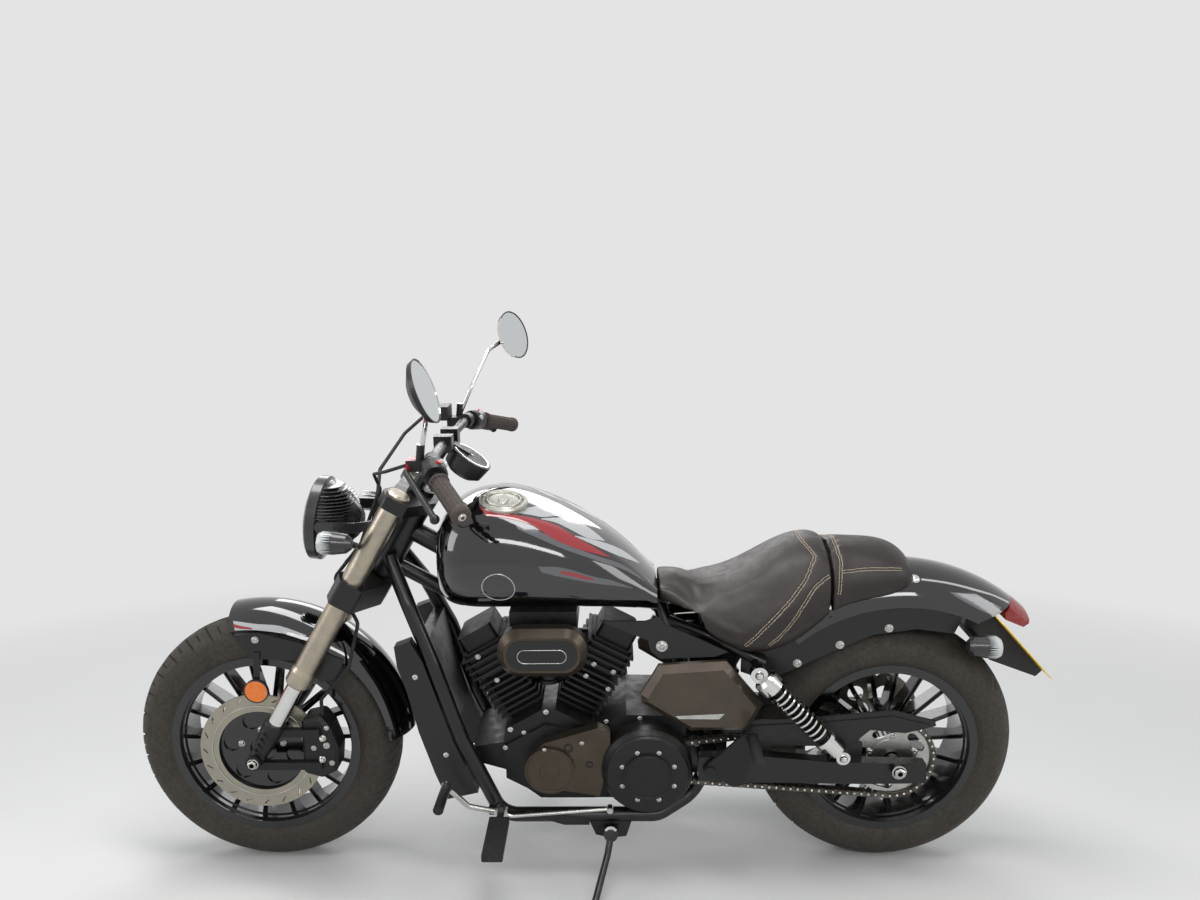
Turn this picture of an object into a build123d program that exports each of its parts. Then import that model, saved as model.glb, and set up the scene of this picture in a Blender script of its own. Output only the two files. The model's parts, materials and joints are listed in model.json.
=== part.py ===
import math
import os

from build123d import *

# Middleweight two-cylinder cruiser motorcycle, parked on its side stand.
# Every piece is placed in the upright machine: X forward, Y to its left, Z up,
# with X = 0 midway between the axles, Y = 0 in its middle plane, Z = 0 on the ground.
# The last block leans the whole machine onto its stand. All sizes in millimetres.

os.makedirs("parts", exist_ok=True)

# Stance
WHEELBASE = 1415.0
LEAN = 8.6
SHIFT_X = 20.3
SHIFT_Y = -152.72

# Tyres: outside radius, half width, crown radius, rim radii and half widths
FRONT_TYRE_R = 302.0
FRONT_TYRE_HALF = 59.0
FRONT_CROWN_R = 66.0
FRONT_SEAT_R = 203.2
FRONT_RIM_HALF = 46.0
REAR_TYRE_R = 295.5
REAR_TYRE_HALF = 75.0
REAR_CROWN_R = 82.0
REAR_SEAT_R = 190.5
REAR_RIM_HALF = 60.0
FLANGE_RISE = 14.0
FLANGE_W = 6.0
BARREL_T = 12.0
BEAD_GAP = 0.2
SPOKES = 18

# Steering head and fork
RAKE = 30.3
STEM_BACK = 40.0
FORK_Y = 105.0
FORK_OUTER_R = 25.0
FORK_INNER_R = 19.0
FORK_COLLAR_R = 28.5
FORK_BOTTOM_TOP = 101.0
FORK_OUTER_END = 210.0
FORK_CAP_TOP = 709.0
LOWER_YOKE = (428.0, 486.0)
UPPER_YOKE = (672.0, 700.0)
STEM_R = 15.0
STEM_BORE_R = 9.0
HEAD_TUBE_R = 30.0
HEAD_BORE_R = 20.0
HEAD_GAP = 5.0
FRONT_AXLE_R = 9.0
FRONT_AXLE_BORE_R = 6.0
RUN_CLEAR = 0.08

# Front fender, turned about the front axle
FRONT_FENDER_TOP_R = FRONT_TYRE_R + 34.0
FRONT_FENDER_SIDE_R = FRONT_TYRE_R - 10.0
FRONT_FENDER_HALF = 72.0

# Brake discs
FRONT_DISC_R = 140.0
FRONT_DISC_IN = 110.0
FRONT_DISC_Y = 75.0
REAR_DISC_R = 120.0
REAR_DISC_IN = 88.0
REAR_DISC_Y = -88.0
DISC_T = 4.5

# Final drive: tooth counts of both chain wheels, chain pitch and place of the drive wheel
REAR_TEETH = 36
FRONT_TEETH = 15
PITCH = 15.875
CHAIN_Y = 100.0
CHAIN_PLATE_H = 12.0
ROLLER_R = 5.0
DRIVE_NOMINAL_X = -166.0
DRIVE_Z = 288.0

REAR_PITCH_R = PITCH / (2.0 * math.sin(math.pi / REAR_TEETH))
FRONT_PITCH_R = PITCH / (2.0 * math.sin(math.pi / FRONT_TEETH))
LINK_STEP = 2.0 * math.pi * REAR_PITCH_R / REAR_TEETH

LEAN_LIFT = 1.0 / math.cos(math.radians(LEAN)) - 1.0
FRONT_X = WHEELBASE / 2.0
REAR_X = -WHEELBASE / 2.0
FRONT_Z = FRONT_TYRE_R + FRONT_CROWN_R * LEAN_LIFT
REAR_Z = REAR_TYRE_R + REAR_CROWN_R * LEAN_LIFT



def chain_length(span):
    """Length of the chain's pitch line for one distance between the chain wheels."""
    wrap = math.asin((REAR_PITCH_R - FRONT_PITCH_R) / span)
    straights = 2.0 * span * math.cos(wrap)
    return straights + REAR_PITCH_R * (math.pi + 2.0 * wrap) + FRONT_PITCH_R * (math.pi - 2.0 * wrap)


# The drive wheel moves by a few millimetres so that the loop closes on an even number of links
DRIVE_SPAN = math.hypot(DRIVE_NOMINAL_X - REAR_X, DRIVE_Z - REAR_Z)
CHAIN_LINKS = 2 * round(chain_length(DRIVE_SPAN) / LINK_STEP / 2.0)
for _ in range(30):
    DRIVE_SPAN += (CHAIN_LINKS * LINK_STEP - chain_length(DRIVE_SPAN)) / 2.0
DRIVE_X = REAR_X + math.sqrt(DRIVE_SPAN**2 - (DRIVE_Z - REAR_Z) ** 2)

# Engine: crank centre and the two cylinder tilts
CRANK_X = 50.0
CRANK_Z = 287.0
FRONT_TILT = 30.0
REAR_TILT = -28.0
DECK_R = 118.0
CHAIN_BAY = [(-300, 352), (-150, 340), (-115, 310), (-115, 262), (-150, 236), (-300, 222)]

# Frame tubes
CRADLE_R = 16.0
RAIL_R = 13.0
BACKBONE_R = 22.0
TUNNEL_HALF = 30.0
PIVOT_X = -300.0
PIVOT_Z = 298.0

# Rear fender, turned about the rear axle
REAR_FENDER_TOP_R = 431.0
REAR_FENDER_SIDE_R = 352.0
REAR_FENDER_HALF = 95.0
REAR_FENDER_END = 127.0
# Centre of its arc, a little behind the rear axle
REAR_FENDER_X = REAR_X - 12.0
SHEET_T = 3.0
STRUT_IN = 82.0
SIDE_COVER_IN = 128.0
SIDE_COVER_OUT = 152.0

# Rider pegs: pivot rod and its place
PEG_X = 160.0
PEG_Z = 190.0
PEG_ROD_R = 8.0

# Side stand: pivot, foot and hinge direction in the upright machine
STAND_PIVOT = (-84.0, 150.0, 140.0)
STAND_HINGE = (0.05, 0.88, 0.47)
STAND_REACH = (38.0, 115.0)
STAND_BOLT_R = 6.0
STAND_FACE = 9.6
STAND_EYE_R = 16.0
STAND_LEG_R = 7.5
STAND_FOOT_R = 24.0
STAND_FOOT_T = 5.0


def cosd(angle):
    """Cosine of an angle in degrees."""
    return math.cos(math.radians(angle))


def sind(angle):
    """Sine of an angle in degrees."""
    return math.sin(math.radians(angle))


def side_plane(left):
    """Upright drawing plane at one distance to the left, seen with X to the right and Z up."""
    return Plane(origin=(0, left, 0), x_dir=(1, 0, 0), z_dir=(0, -1, 0))


def cross_plane(forward):
    """Upright drawing plane across the machine, with Y to the right and Z up."""
    return Plane(origin=(forward, 0, 0), x_dir=(0, 1, 0), z_dir=(1, 0, 0))


def fork(along, ahead=0.0, left=0.0):
    """A point measured up the fork from the front axle, ahead of the legs and to the left."""
    x = FRONT_X - along * sind(RAKE) + ahead * cosd(RAKE)
    z = FRONT_Z + along * cosd(RAKE) + ahead * sind(RAKE)
    return (x, left, z)


def placed_at(x, z, points):
    """Side view points moved to a base point."""
    return [(x + u, z + v) for u, v in points]


def bar(ahead, left, up):
    """A point of the handlebar group, measured from the middle of the upper yoke's top."""
    x, _, z = fork(UPPER_YOKE[1])
    return (x + ahead, left, z + up)


def tail(points):
    """Side view points measured from the end of the rear fender's crown."""
    x = REAR_FENDER_X + REAR_FENDER_TOP_R * cosd(REAR_FENDER_END)
    z = REAR_Z + REAR_FENDER_TOP_R * sind(REAR_FENDER_END)
    return placed_at(x, z, points)


def rear_arch(start, sweep_angle, clearance, thickness):
    """Arch of the rear fender, larger than its outside by a clearance."""
    return arched_cover(REAR_FENDER_X, REAR_Z, start, sweep_angle, REAR_FENDER_TOP_R + clearance,
                        REAR_FENDER_SIDE_R, REAR_FENDER_HALF + clearance, thickness)


def fork_plane(along):
    """Drawing plane square to the fork, with local x ahead and local y to the left."""
    return Plane(origin=fork(along), x_dir=(cosd(RAKE), 0, sind(RAKE)), z_dir=(-sind(RAKE), 0, cosd(RAKE)))


def rod(start, end, radius):
    """Round bar between two points."""
    a = Vector(*start)
    b = Vector(*end)
    return Solid.make_cylinder(radius, (b - a).length, Plane(origin=a, z_dir=b - a))


def taper(start, end, start_r, end_r):
    """Round bar that changes from one radius to another."""
    a = Vector(*start)
    b = Vector(*end)
    return Solid.make_cone(start_r, end_r, (b - a).length, Plane(origin=a, z_dir=b - a))


def tube(points, radius, bend):
    """Round tube through the points, with every corner bent to one radius."""
    with BuildLine() as line:
        start = Vector(*points[0])
        for before, corner, after in zip(points, points[1:], points[2:]):
            here = Vector(*corner)
            back = (Vector(*before) - here).normalized()
            onward = (Vector(*after) - here).normalized()
            half = math.radians(back.get_angle(onward)) / 2.0
            reach = bend / math.tan(half)
            middle = here + (back + onward).normalized() * (bend / math.sin(half) - bend)
            Line(start, here + back * reach)
            ThreePointArc(here + back * reach, middle, here + onward * reach)
            start = here + onward * reach
        Line(start, Vector(*points[-1]))
    path = line.wire()
    with BuildPart() as piece:
        with BuildSketch(Plane(origin=path @ 0, z_dir=path % 0)):
            Circle(radius)
        sweep(path=path)
    return piece.part


def slab(outline, low, high, corner=0.0):
    """Plate with a drawn side view, between two distances to the left."""
    with BuildPart() as piece:
        with BuildSketch(side_plane(high)) as face:
            Polygon(*outline, align=None)
            if corner > 0.0:
                fillet(face.vertices(), corner)
        extrude(amount=high - low)
    return piece.part


def block(x, y, z):
    """Plain block between two limits on each axis."""
    return Solid.make_box(x[1] - x[0], y[1] - y[0], z[1] - z[0], Plane(origin=(x[0], y[0], z[0])))


def turned(profile, x, z):
    """Ring or disc turned about a cross axle, drawn as radius and distance to the left."""
    with BuildPart() as piece:
        with BuildSketch(Plane(origin=(x, 0, z))):
            Polygon(*profile, align=None)
        revolve(axis=Axis((x, 0, z), (0, 1, 0)))
    return piece.part


def lathe(profile, start, toward):
    """Piece turned about any line, drawn as distance along it and radius."""
    along = (Vector(*toward) - Vector(*start)).normalized()
    across = along.cross(Vector(0, 1, 0))
    if across.length < 0.1:
        across = along.cross(Vector(1, 0, 0))
    with BuildPart() as piece:
        with BuildSketch(Plane(origin=start, x_dir=along, z_dir=across)):
            Polygon(*profile, align=None)
        revolve(axis=Axis(start, along))
    return piece.part


def hoop(x, base_w, base_z, side_w, side_z, shoulder_w, shoulder_z, top_z):
    """Cross section with a flat base, arched sides and an arched top."""
    with BuildSketch(cross_plane(x)) as face:
        with BuildLine():
            Line((-base_w, base_z), (base_w, base_z))
            ThreePointArc((base_w, base_z), (side_w, side_z), (shoulder_w, shoulder_z))
            ThreePointArc((shoulder_w, shoulder_z), (0, top_z), (-shoulder_w, shoulder_z))
            ThreePointArc((-shoulder_w, shoulder_z), (-side_w, side_z), (-base_w, base_z))
        make_face()
    return face.sketch


def both_sides(piece):
    """The piece and its mirror image on the other side of the machine."""
    return [piece, piece.mirror(Plane.XZ)]


def arched_cover(x, z, start, sweep_angle, top_r, side_r, half, thickness):
    """Fender: an arched section turned about a cross axle through part of a circle."""
    plane = Plane(origin=(x, 0, z), x_dir=(cosd(start), 0, sind(start)), z_dir=(-sind(start), 0, cosd(start)))
    with BuildPart() as piece:
        with BuildSketch(plane):
            with BuildLine():
                ThreePointArc((side_r, -half), (top_r, 0), (side_r, half))
                Line((side_r, half), (side_r, half - thickness))
                ThreePointArc((side_r, half - thickness), (top_r - thickness, 0), (side_r, thickness - half))
                Line((side_r, thickness - half), (side_r, -half))
            make_face()
        revolve(axis=Axis((x, 0, z), (0, 1, 0)), revolution_arc=sweep_angle)
    return piece.part


def tyre(x, z, radius, half, crown, seat_r, rim_half):
    """Tyre: beads, bulged sidewalls and a round crown."""
    shoulder = half * 0.92
    shoulder_r = radius - crown + math.sqrt(crown * crown - shoulder * shoulder)
    bulge_r = (shoulder_r + seat_r) / 2.0 + 6.0
    lip_r = seat_r + FLANGE_RISE + BEAD_GAP
    lip = rim_half + FLANGE_W - 1.0
    with BuildPart() as piece:
        with BuildSketch(Plane(origin=(x, 0, z))):
            with BuildLine():
                Polyline((lip_r, -lip), (lip_r, -rim_half), (seat_r, -rim_half), (seat_r, rim_half),
                         (lip_r, rim_half), (lip_r, lip))
                ThreePointArc((lip_r, lip), (bulge_r, half), (shoulder_r, shoulder))
                ThreePointArc((shoulder_r, shoulder), (radius, 0), (shoulder_r, -shoulder))
                ThreePointArc((shoulder_r, -shoulder), (bulge_r, -half), (lip_r, -lip))
            make_face()
        revolve(axis=Axis((x, 0, z), (0, 1, 0)))
    return piece.part


def rim(x, z, seat_r, rim_half, hub_r, hub_low, hub_high, bore_r):
    """Cast wheel: barrel with two flanges, slim spokes and a bored hub."""
    inner = seat_r - BARREL_T
    edge = rim_half + FLANGE_W
    top = seat_r + FLANGE_RISE
    well = seat_r - BEAD_GAP
    wall = rim_half + BEAD_GAP
    lip = seat_r - 4.0
    step = seat_r - 9.0
    half_profile = [(well, wall), (top, wall), (top, edge), (lip, edge), (lip, edge - 8.0)]
    half_profile += [(step, edge - 8.0), (step, edge - 20.0), (inner, edge - 20.0)]
    profile = half_profile + [(r, -y) for r, y in reversed(half_profile)]
    hub = [(bore_r, hub_low), (hub_r, hub_low), (hub_r, hub_high), (bore_r, hub_high)]
    with BuildPart() as piece:
        add(turned(profile, x, z))
        add(turned(hub, x, z))
        for spoke in range(SPOKES):
            turn = 360.0 * spoke / SPOKES
            across = (-sind(turn), 0, cosd(turn))
            plane = Plane(origin=(x, 0, z), x_dir=(cosd(turn), 0, sind(turn)), z_dir=across)
            # Two ribs with a lower web between them
            for deep, low, high in ((0.0, -5.5, -2.8), (0.0, 2.8, 5.5), (5.0, -2.8, 2.8)):
                with BuildSketch(plane.offset(low)):
                    Polygon((hub_r - 4, deep - 26), (inner + 4, deep - 14), (inner + 4, 14 - deep),
                            (hub_r - 4, 26 - deep), align=None)
                extrude(amount=high - low)
    return piece.part



# Front wheel
with BuildPart() as front_tyre:
    add(tyre(FRONT_X, FRONT_Z, FRONT_TYRE_R, FRONT_TYRE_HALF, FRONT_CROWN_R, FRONT_SEAT_R, FRONT_RIM_HALF))

with BuildPart() as front_rim:
    add(rim(FRONT_X, FRONT_Z, FRONT_SEAT_R, FRONT_RIM_HALF, 34.0, -60.0, 64.0, FRONT_AXLE_R + RUN_CLEAR))
    # Black disc carrier in front of the hub, with round recesses
    add(turned([(30, 64), (FRONT_DISC_IN, 64), (FRONT_DISC_IN, 70), (30, 70)], FRONT_X, FRONT_Z))
    with BuildSketch(Plane(origin=(FRONT_X, 80, FRONT_Z), x_dir=(1, 0, 0), z_dir=(0, -1, 0))):
        with PolarLocations(72.0, 6, start_angle=12):
            Circle(19.0)
    extrude(amount=14, mode=Mode.SUBTRACT)

with BuildPart() as front_disc:
    half_t = DISC_T / 2.0
    low = FRONT_DISC_Y - half_t
    high = FRONT_DISC_Y + half_t
    add(turned([(FRONT_DISC_IN - 12, 70), (FRONT_DISC_IN, 70), (FRONT_DISC_IN, low), (FRONT_DISC_R, low),
                (FRONT_DISC_R, high), (FRONT_DISC_IN - 12, high)], FRONT_X, FRONT_Z))
    with BuildSketch(Plane(origin=(FRONT_X, high + 1, FRONT_Z), x_dir=(1, 0, 0), z_dir=(0, -1, 0))):
        with PolarLocations(129.0, 20):
            Rectangle(15.0, 3.2, rotation=50)
    extrude(amount=DISC_T + 2, mode=Mode.SUBTRACT)

# Rear wheel
with BuildPart() as rear_tyre:
    add(tyre(REAR_X, REAR_Z, REAR_TYRE_R, REAR_TYRE_HALF, REAR_CROWN_R, REAR_SEAT_R, REAR_RIM_HALF))

with BuildPart() as rear_rim:
    add(rim(REAR_X, REAR_Z, REAR_SEAT_R, REAR_RIM_HALF, 42.0, REAR_DISC_Y + DISC_T / 2.0, 90.0,
            FRONT_AXLE_R + RUN_CLEAR))

with BuildPart() as rear_sprocket:
    root_r = REAR_PITCH_R - ROLLER_R - 0.5
    tooth = REAR_PITCH_R + 3.5 - root_r
    with BuildSketch(side_plane(CHAIN_Y + 2.6)):
        with Locations((REAR_X, REAR_Z)):
            Circle(root_r)
            with PolarLocations(root_r, REAR_TEETH, start_angle=180.0 / REAR_TEETH):
                Polygon((-1, -2.7), (-1, 2.7), (tooth, 1.0), (tooth, -1.0), align=None)
            Circle(30.0, mode=Mode.SUBTRACT)
            with PolarLocations(64.0, 5):
                SlotOverall(52.0, 20.0, rotation=90, mode=Mode.SUBTRACT)
    extrude(amount=5.2)
    # Turned boss that carries the chain wheel on the hub
    eye_r = FRONT_AXLE_R + 7
    add(turned([(eye_r, 90), (46, 90), (46, CHAIN_Y + 4), (eye_r, CHAIN_Y + 4)], REAR_X, REAR_Z))

with BuildPart() as rear_disc:
    low = REAR_DISC_Y - DISC_T / 2.0
    high = REAR_DISC_Y + DISC_T / 2.0
    add(turned([(26, low), (REAR_DISC_R, low), (REAR_DISC_R, high), (26, high)], REAR_X, REAR_Z))
    with BuildSketch(Plane(origin=(REAR_X, high + 1, REAR_Z), x_dir=(1, 0, 0), z_dir=(0, -1, 0))):
        with PolarLocations(109.0, 18):
            Rectangle(13.0, 3.2, rotation=50)
        with PolarLocations(66.0, 6):
            Circle(19.0)
    extrude(amount=DISC_T + 2, mode=Mode.SUBTRACT)

# Steering: yokes with the stem between them
with BuildPart() as yokes:
    for low, high, reach in ((LOWER_YOKE[0], LOWER_YOKE[1], 38.0), (UPPER_YOKE[0], UPPER_YOKE[1], 36.0)):
        with BuildSketch(fork_plane(low)) as plan:
            with BuildLine():
                Polyline((-STEM_BACK - 34, -26), (-STEM_BACK - 34, 26), (-30, FORK_Y + 30), (20, FORK_Y + 30),
                         (34, FORK_Y), (20, 60), (20, -60), (34, -FORK_Y), (20, -FORK_Y - 30),
                         (-30, -FORK_Y - 30), (-STEM_BACK - 34, -26))
            make_face()
            fillet(plan.vertices(), 10)
            with Locations((0, FORK_Y), (0, -FORK_Y)):
                Circle(FORK_OUTER_R, mode=Mode.SUBTRACT)
        extrude(amount=high - low)
    stem_foot = fork(LOWER_YOKE[0] - 14, -STEM_BACK)
    add(rod(stem_foot, fork(UPPER_YOKE[1] + 6, -STEM_BACK), STEM_R))
    add(rod(fork(UPPER_YOKE[1], -STEM_BACK), fork(UPPER_YOKE[1] + 10, -STEM_BACK), 20.0))
    # Bearing races that seat the stem at both ends of the head tube
    for along in (LOWER_YOKE[1] + HEAD_GAP + 2, UPPER_YOKE[0] - HEAD_GAP - 18):
        add(rod(fork(along, -STEM_BACK), fork(along + 16, -STEM_BACK), HEAD_BORE_R - RUN_CLEAR))
    add(rod(stem_foot, fork(LOWER_YOKE[0] + 26, -STEM_BACK), STEM_BORE_R), mode=Mode.SUBTRACT)

with BuildPart() as fork_outer:
    outer = [(FORK_OUTER_END, FORK_INNER_R), (FORK_OUTER_END, 26.0), (FORK_OUTER_END + 4, FORK_COLLAR_R),
             (FORK_OUTER_END + 34, FORK_COLLAR_R), (FORK_OUTER_END + 44, FORK_OUTER_R),
             (FORK_CAP_TOP - 4, FORK_OUTER_R), (FORK_CAP_TOP, 21.0), (FORK_CAP_TOP, 0),
             (FORK_OUTER_END + 30, 0), (FORK_OUTER_END + 30, FORK_INNER_R)]
    add(both_sides(lathe(outer, fork(0, 0, FORK_Y), fork(100, 0, FORK_Y))))

with BuildPart() as fork_inner:
    add(both_sides(rod(fork(FORK_BOTTOM_TOP, 0, FORK_Y), fork(FORK_OUTER_END + 30, 0, FORK_Y), FORK_INNER_R)))

with BuildPart() as front_caliper:
    with BuildSketch(side_plane(106)) as face:
        outline = [(-104.5, 89.2), (-147.5, 99.2), (-167.5, 71.2), (-183.5, 17.2), (-177.5, -34.8),
                   (-141.5, -52.8), (-101.5, -40.8)]
        Polygon(*placed_at(FRONT_X, FRONT_Z, outline), align=None)
        fillet(face.vertices(), 10)
    extrude(amount=55)
    chamfer(faces().sort_by(Axis.Y)[-1].edges(), 7)
    # Slot in which the disc and its carrier turn
    slot_r = FRONT_DISC_R + 7
    add(turned([(60, 62), (slot_r, 62), (slot_r, FRONT_DISC_Y + 8), (60, FRONT_DISC_Y + 8)],
               FRONT_X, FRONT_Z), mode=Mode.SUBTRACT)

with BuildPart() as fork_bottoms:
    casting = [(-16, 0), (-16, 14), (-6, 19), (20, 19), (40, 21), (70, 24), (FORK_BOTTOM_TOP - 4, 25),
               (FORK_BOTTOM_TOP, 23), (FORK_BOTTOM_TOP, 0)]
    add(both_sides(lathe(casting, fork(0, 0, FORK_Y), fork(100, 0, FORK_Y))))
    # Axle clamped in both castings, with spacers and end nuts
    add(rod((FRONT_X, -FORK_Y - 24, FRONT_Z), (FRONT_X, FORK_Y + 24, FRONT_Z), FRONT_AXLE_R))
    add(both_sides(rod((FRONT_X, 72.5, FRONT_Z), (FRONT_X, FORK_Y, FRONT_Z), 14.0)))
    add(both_sides(rod((FRONT_X, FORK_Y + 15, FRONT_Z), (FRONT_X, FORK_Y + 26, FRONT_Z), 17.0)))
    # Caliper lugs behind the left leg
    for height in (-17.0, 63.0):
        reach = fork(height / cosd(RAKE))[0] - 6
        low = FRONT_Z + height - 9
        add(block((FRONT_X - 147, reach), (FORK_Y - 6, FORK_Y + 8), (low, low + 18)))
    add(front_caliper.part, mode=Mode.SUBTRACT)
    axle_end = FORK_Y + 40
    add(rod((FRONT_X, -axle_end, FRONT_Z), (FRONT_X, axle_end, FRONT_Z), FRONT_AXLE_BORE_R),
        mode=Mode.SUBTRACT)

with BuildPart() as front_fender:
    add(arched_cover(FRONT_X, FRONT_Z, 176.0, 96.0, FRONT_FENDER_TOP_R, FRONT_FENDER_SIDE_R, FRONT_FENDER_HALF,
                     SHEET_T))

with BuildPart() as fender_brackets:
    # Black plates that carry the fender from the fork legs
    outline = [(34.5, -19.8), (7.5, -75.8), (-104.5, -80.8), (-147.5, -134.8), (-187.5, -124.8),
               (-202.5, -79.8), (-107.5, -38.8), (-17.5, -14.8)]
    add(both_sides(slab(placed_at(FRONT_X, FRONT_Z + FRONT_TYRE_R, outline), 72.3, 76.3)))
    stay = [(-4.5, -59.8), (-17.5, -59.8), (-11.5, -134.8), (2.5, -134.8)]
    add(both_sides(slab(placed_at(FRONT_X, FRONT_Z + FRONT_TYRE_R, stay), 76.3, 79.3)))

with BuildPart() as reflectors:
    for left in (79.3, -87.3):
        x = FRONT_X - 4.5
        z = FRONT_Z + FRONT_TYRE_R - 149.7
        add(rod((x, left, z), (x, left + 8, z), 26.0))

with BuildPart() as handlebar:
    grip_in = bar(-123.3, 297.0, 84.8)
    grip_out = bar(-185.3, 410.0, 49.8)
    half_bar = [grip_out, grip_in, bar(-96.3, 215, 100.8), bar(-90.3, 80, 98.8), bar(-90.3, 0, 98.8)]
    add(both_sides(tube(half_bar, 11.0, 45.0)))
    for left in (40.0, -40.0):
        add(rod(fork(UPPER_YOKE[1], -18, left), bar(-84.3, left, 86.8), 13.0))
        low = bar(-108.3, left - 15, 80.8)
        add(Solid.make_box(38, 30, 36, Plane(origin=low)))
    add(yokes.part, mode=Mode.SUBTRACT)

with BuildPart() as grips:
    add(both_sides(lathe([(10, 11.02), (10, 20), (14, 20), (16, 16.5), (124, 16.5), (126, 18.5), (134, 18.5),
                          (138, 15), (138, 0), (134.2, 0), (134.2, 11.02)], grip_in, grip_out)))

with BuildPart() as hand_controls:
    # Switch housings, lever perches and levers; the right side also holds the brake reservoir
    for side in (1, -1):
        add(lathe([(-2, 11.02), (-2, 22), (6, 24), (40, 24), (46, 21), (46, 11.02)],
                  bar(-104.3, side * 240, 95.8), bar(-123.3, side * 297, 84.8)))
        add(lathe([(0, 11.02), (0, 17), (30, 17), (30, 11.02)], bar(-95.8, side * 200, 100.9),
                  bar(-99.5, side * 226, 99.2)))
        add(Solid.make_box(40, 36, 22, Plane(origin=bar(-92.3, side * 222 - 18, 86.8))))
        blade = [bar(-58.3, side * 212, 92.8), bar(-54.3, side * 250, 88.8), bar(-92.3, side * 320, 66.8),
                 bar(-136.3, side * 400, 40.8)]
        add(tube(blade, 6.0, 20.0))
        add(Solid.make_sphere(9.0, Plane(origin=blade[-1]), angle1=-90))
    add(Solid.make_box(50, 57, 32, Plane(origin=bar(-62.3, -222, 108.8))))
    add(handlebar.part, mode=Mode.SUBTRACT)

MIRRORS = (
    # side, ahead, up and left of the glass centre, direction that the glass faces, two bends of the stem
    (1, -119.3, 260.0, 350.0, (-0.94, 0.04, 0.33), (-92.3, 232.0, 172.0), (-112.0, 296.0, 222.0)),
    (-1, -201.3, 290.0, -350.0, (-0.86, 0.42, 0.28), (-110.0, -234.0, 178.0), (-145.0, -300.0, 258.0)),
)
with BuildPart() as mirrors:
    for side, ahead, up, left, faces_to, low_bend, high_bend in MIRRORS:
        head = Vector(*bar(ahead, left, up))
        face_dir = Vector(*faces_to).normalized()
        back = head - face_dir * 16
        add(tube([bar(-78.3, side * 229, 108.8), bar(*low_bend), bar(*high_bend), tuple(back)], 5.0, 30.0))
        add(rod(bar(-78.3, side * 229, 108.8), bar(-82.0, side * 229.6, 138.8), 8.0))
        add(lathe([(-24, 0), (-20, 30), (-6, 56), (4, 60), (4, 57), (1, 57), (1, 0)], tuple(head),
                  tuple(head + face_dir * 10)))
    add(hand_controls.part, mode=Mode.SUBTRACT)

with BuildPart() as mirror_glass:
    for side, ahead, up, left, faces_to, low_bend, high_bend in MIRRORS:
        head = Vector(*bar(ahead, left, up))
        face_dir = Vector(*faces_to).normalized()
        add(rod(tuple(head + face_dir * 1.0), tuple(head + face_dir * 3.0), 56.9))

with BuildPart() as gauge:
    case = [(-44, 0), (-44, 30), (-34, 44), (-2, 49), (2, 49), (2, 0)]
    add(lathe(case, bar(-140.3, 0, 60.8), bar(-170.3, 0, 102.8)))
    bracket = [(-92.3, 80.8), (-104.3, 92.8), (-140.3, 70.8), (-122.3, 42.8)]
    add(slab(placed_at(bar(0, 0, 0)[0], bar(0, 0, 0)[2], bracket), -14, 14))
    add(handlebar.part, mode=Mode.SUBTRACT)

with BuildPart() as headlamp:
    lamp_back = bar(111.7, 0, -85.2)
    lamp_front = bar(211.7, 0, -73.2)
    add(lathe([(-4, 0), (-4, 22), (4, 34), (26, 56), (60, 78), (72, 86), (76, 93), (96, 93), (100, 88), (100, 84),
               (90, 84), (90, 0)], lamp_back, lamp_front))
    # Cooling fins over the top of the shell
    for step in range(7):
        along = 18 + step * 9.0
        fin = [(-2, 20), (-2, 46 + step * 5.2), (2, 47 + step * 5.2), (2, 20)]
        add(lathe([(u + along, v) for u, v in fin], lamp_back, lamp_front))
    # Arms back to the fork legs
    for side in (1, -1):
        add(rod(bar(169.7, side * 84, -69.2), bar(169.7, side * 97, -69.2), 14.0))
        arm = [(175.7, -57.2), (159.7, -83.2), (97.7, -81.2), (37.7, -69.2), (37.7, -51.2), (97.7, -59.2)]
        add(slab(placed_at(bar(0, 0, 0)[0], bar(0, 0, 0)[2], arm), side * 97 - 3, side * 97 + 3))
    add(fork_outer.part, mode=Mode.SUBTRACT)

with BuildPart() as headlamp_lens:
    add(lathe([(90.1, 0), (90.1, 83.8), (100, 83.8), (107, 70), (113, 40), (115, 0)], lamp_back, lamp_front))

with BuildPart() as front_indicators:
    for side in (1, -1):
        y = side * 158
        bullet = [(0, 0), (2, 12), (12, 20), (40, 24), (62, 24), (70, 20), (73, 0)]
        add(lathe(bullet, bar(85.7, y, -85.2), bar(158.7, y, -81.2)))
        add(tube([bar(107.7, y, -83.2), bar(91.7, side * 134, -95.2), fork(560, 20, side * 105)], 7.0, 10.0))
    add(fork_outer.part, mode=Mode.SUBTRACT)

with BuildPart() as hoses:
    # Brake hose from the reservoir, in front of both yokes and behind the left leg to the caliper
    brake = [bar(-12.3, -195, 124.8), bar(37.7, -150, 82.8), bar(61.7, 0, 32.8), bar(53.7, 62, -7.2),
             bar(97.7, 62, -117.2), bar(161.7, 62, -195.2), bar(113.7, 72, -297.2),
             bar(131.7, 104, -387.2), bar(201.7, 96, -467.2), bar(201.7, 94, -504.2)]
    add(tube(brake, 4.0, 20.0))
    # Clutch line from the left perch to its guide on the lower yoke
    clutch = [bar(-52.3, 222, 96.8), bar(-2.3, 200, 77.8), bar(59.7, 60, 37.8), bar(57.7, 20, -7.2),
              bar(93.7, 10, -117.2), bar(149.7, 10, -177.2)]
    add(tube(clutch, 3.5, 20.0))
    add(yokes.part, mode=Mode.SUBTRACT)
    add(headlamp.part, mode=Mode.SUBTRACT)
    add(front_caliper.part, mode=Mode.SUBTRACT)
    add(hand_controls.part, mode=Mode.SUBTRACT)

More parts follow.
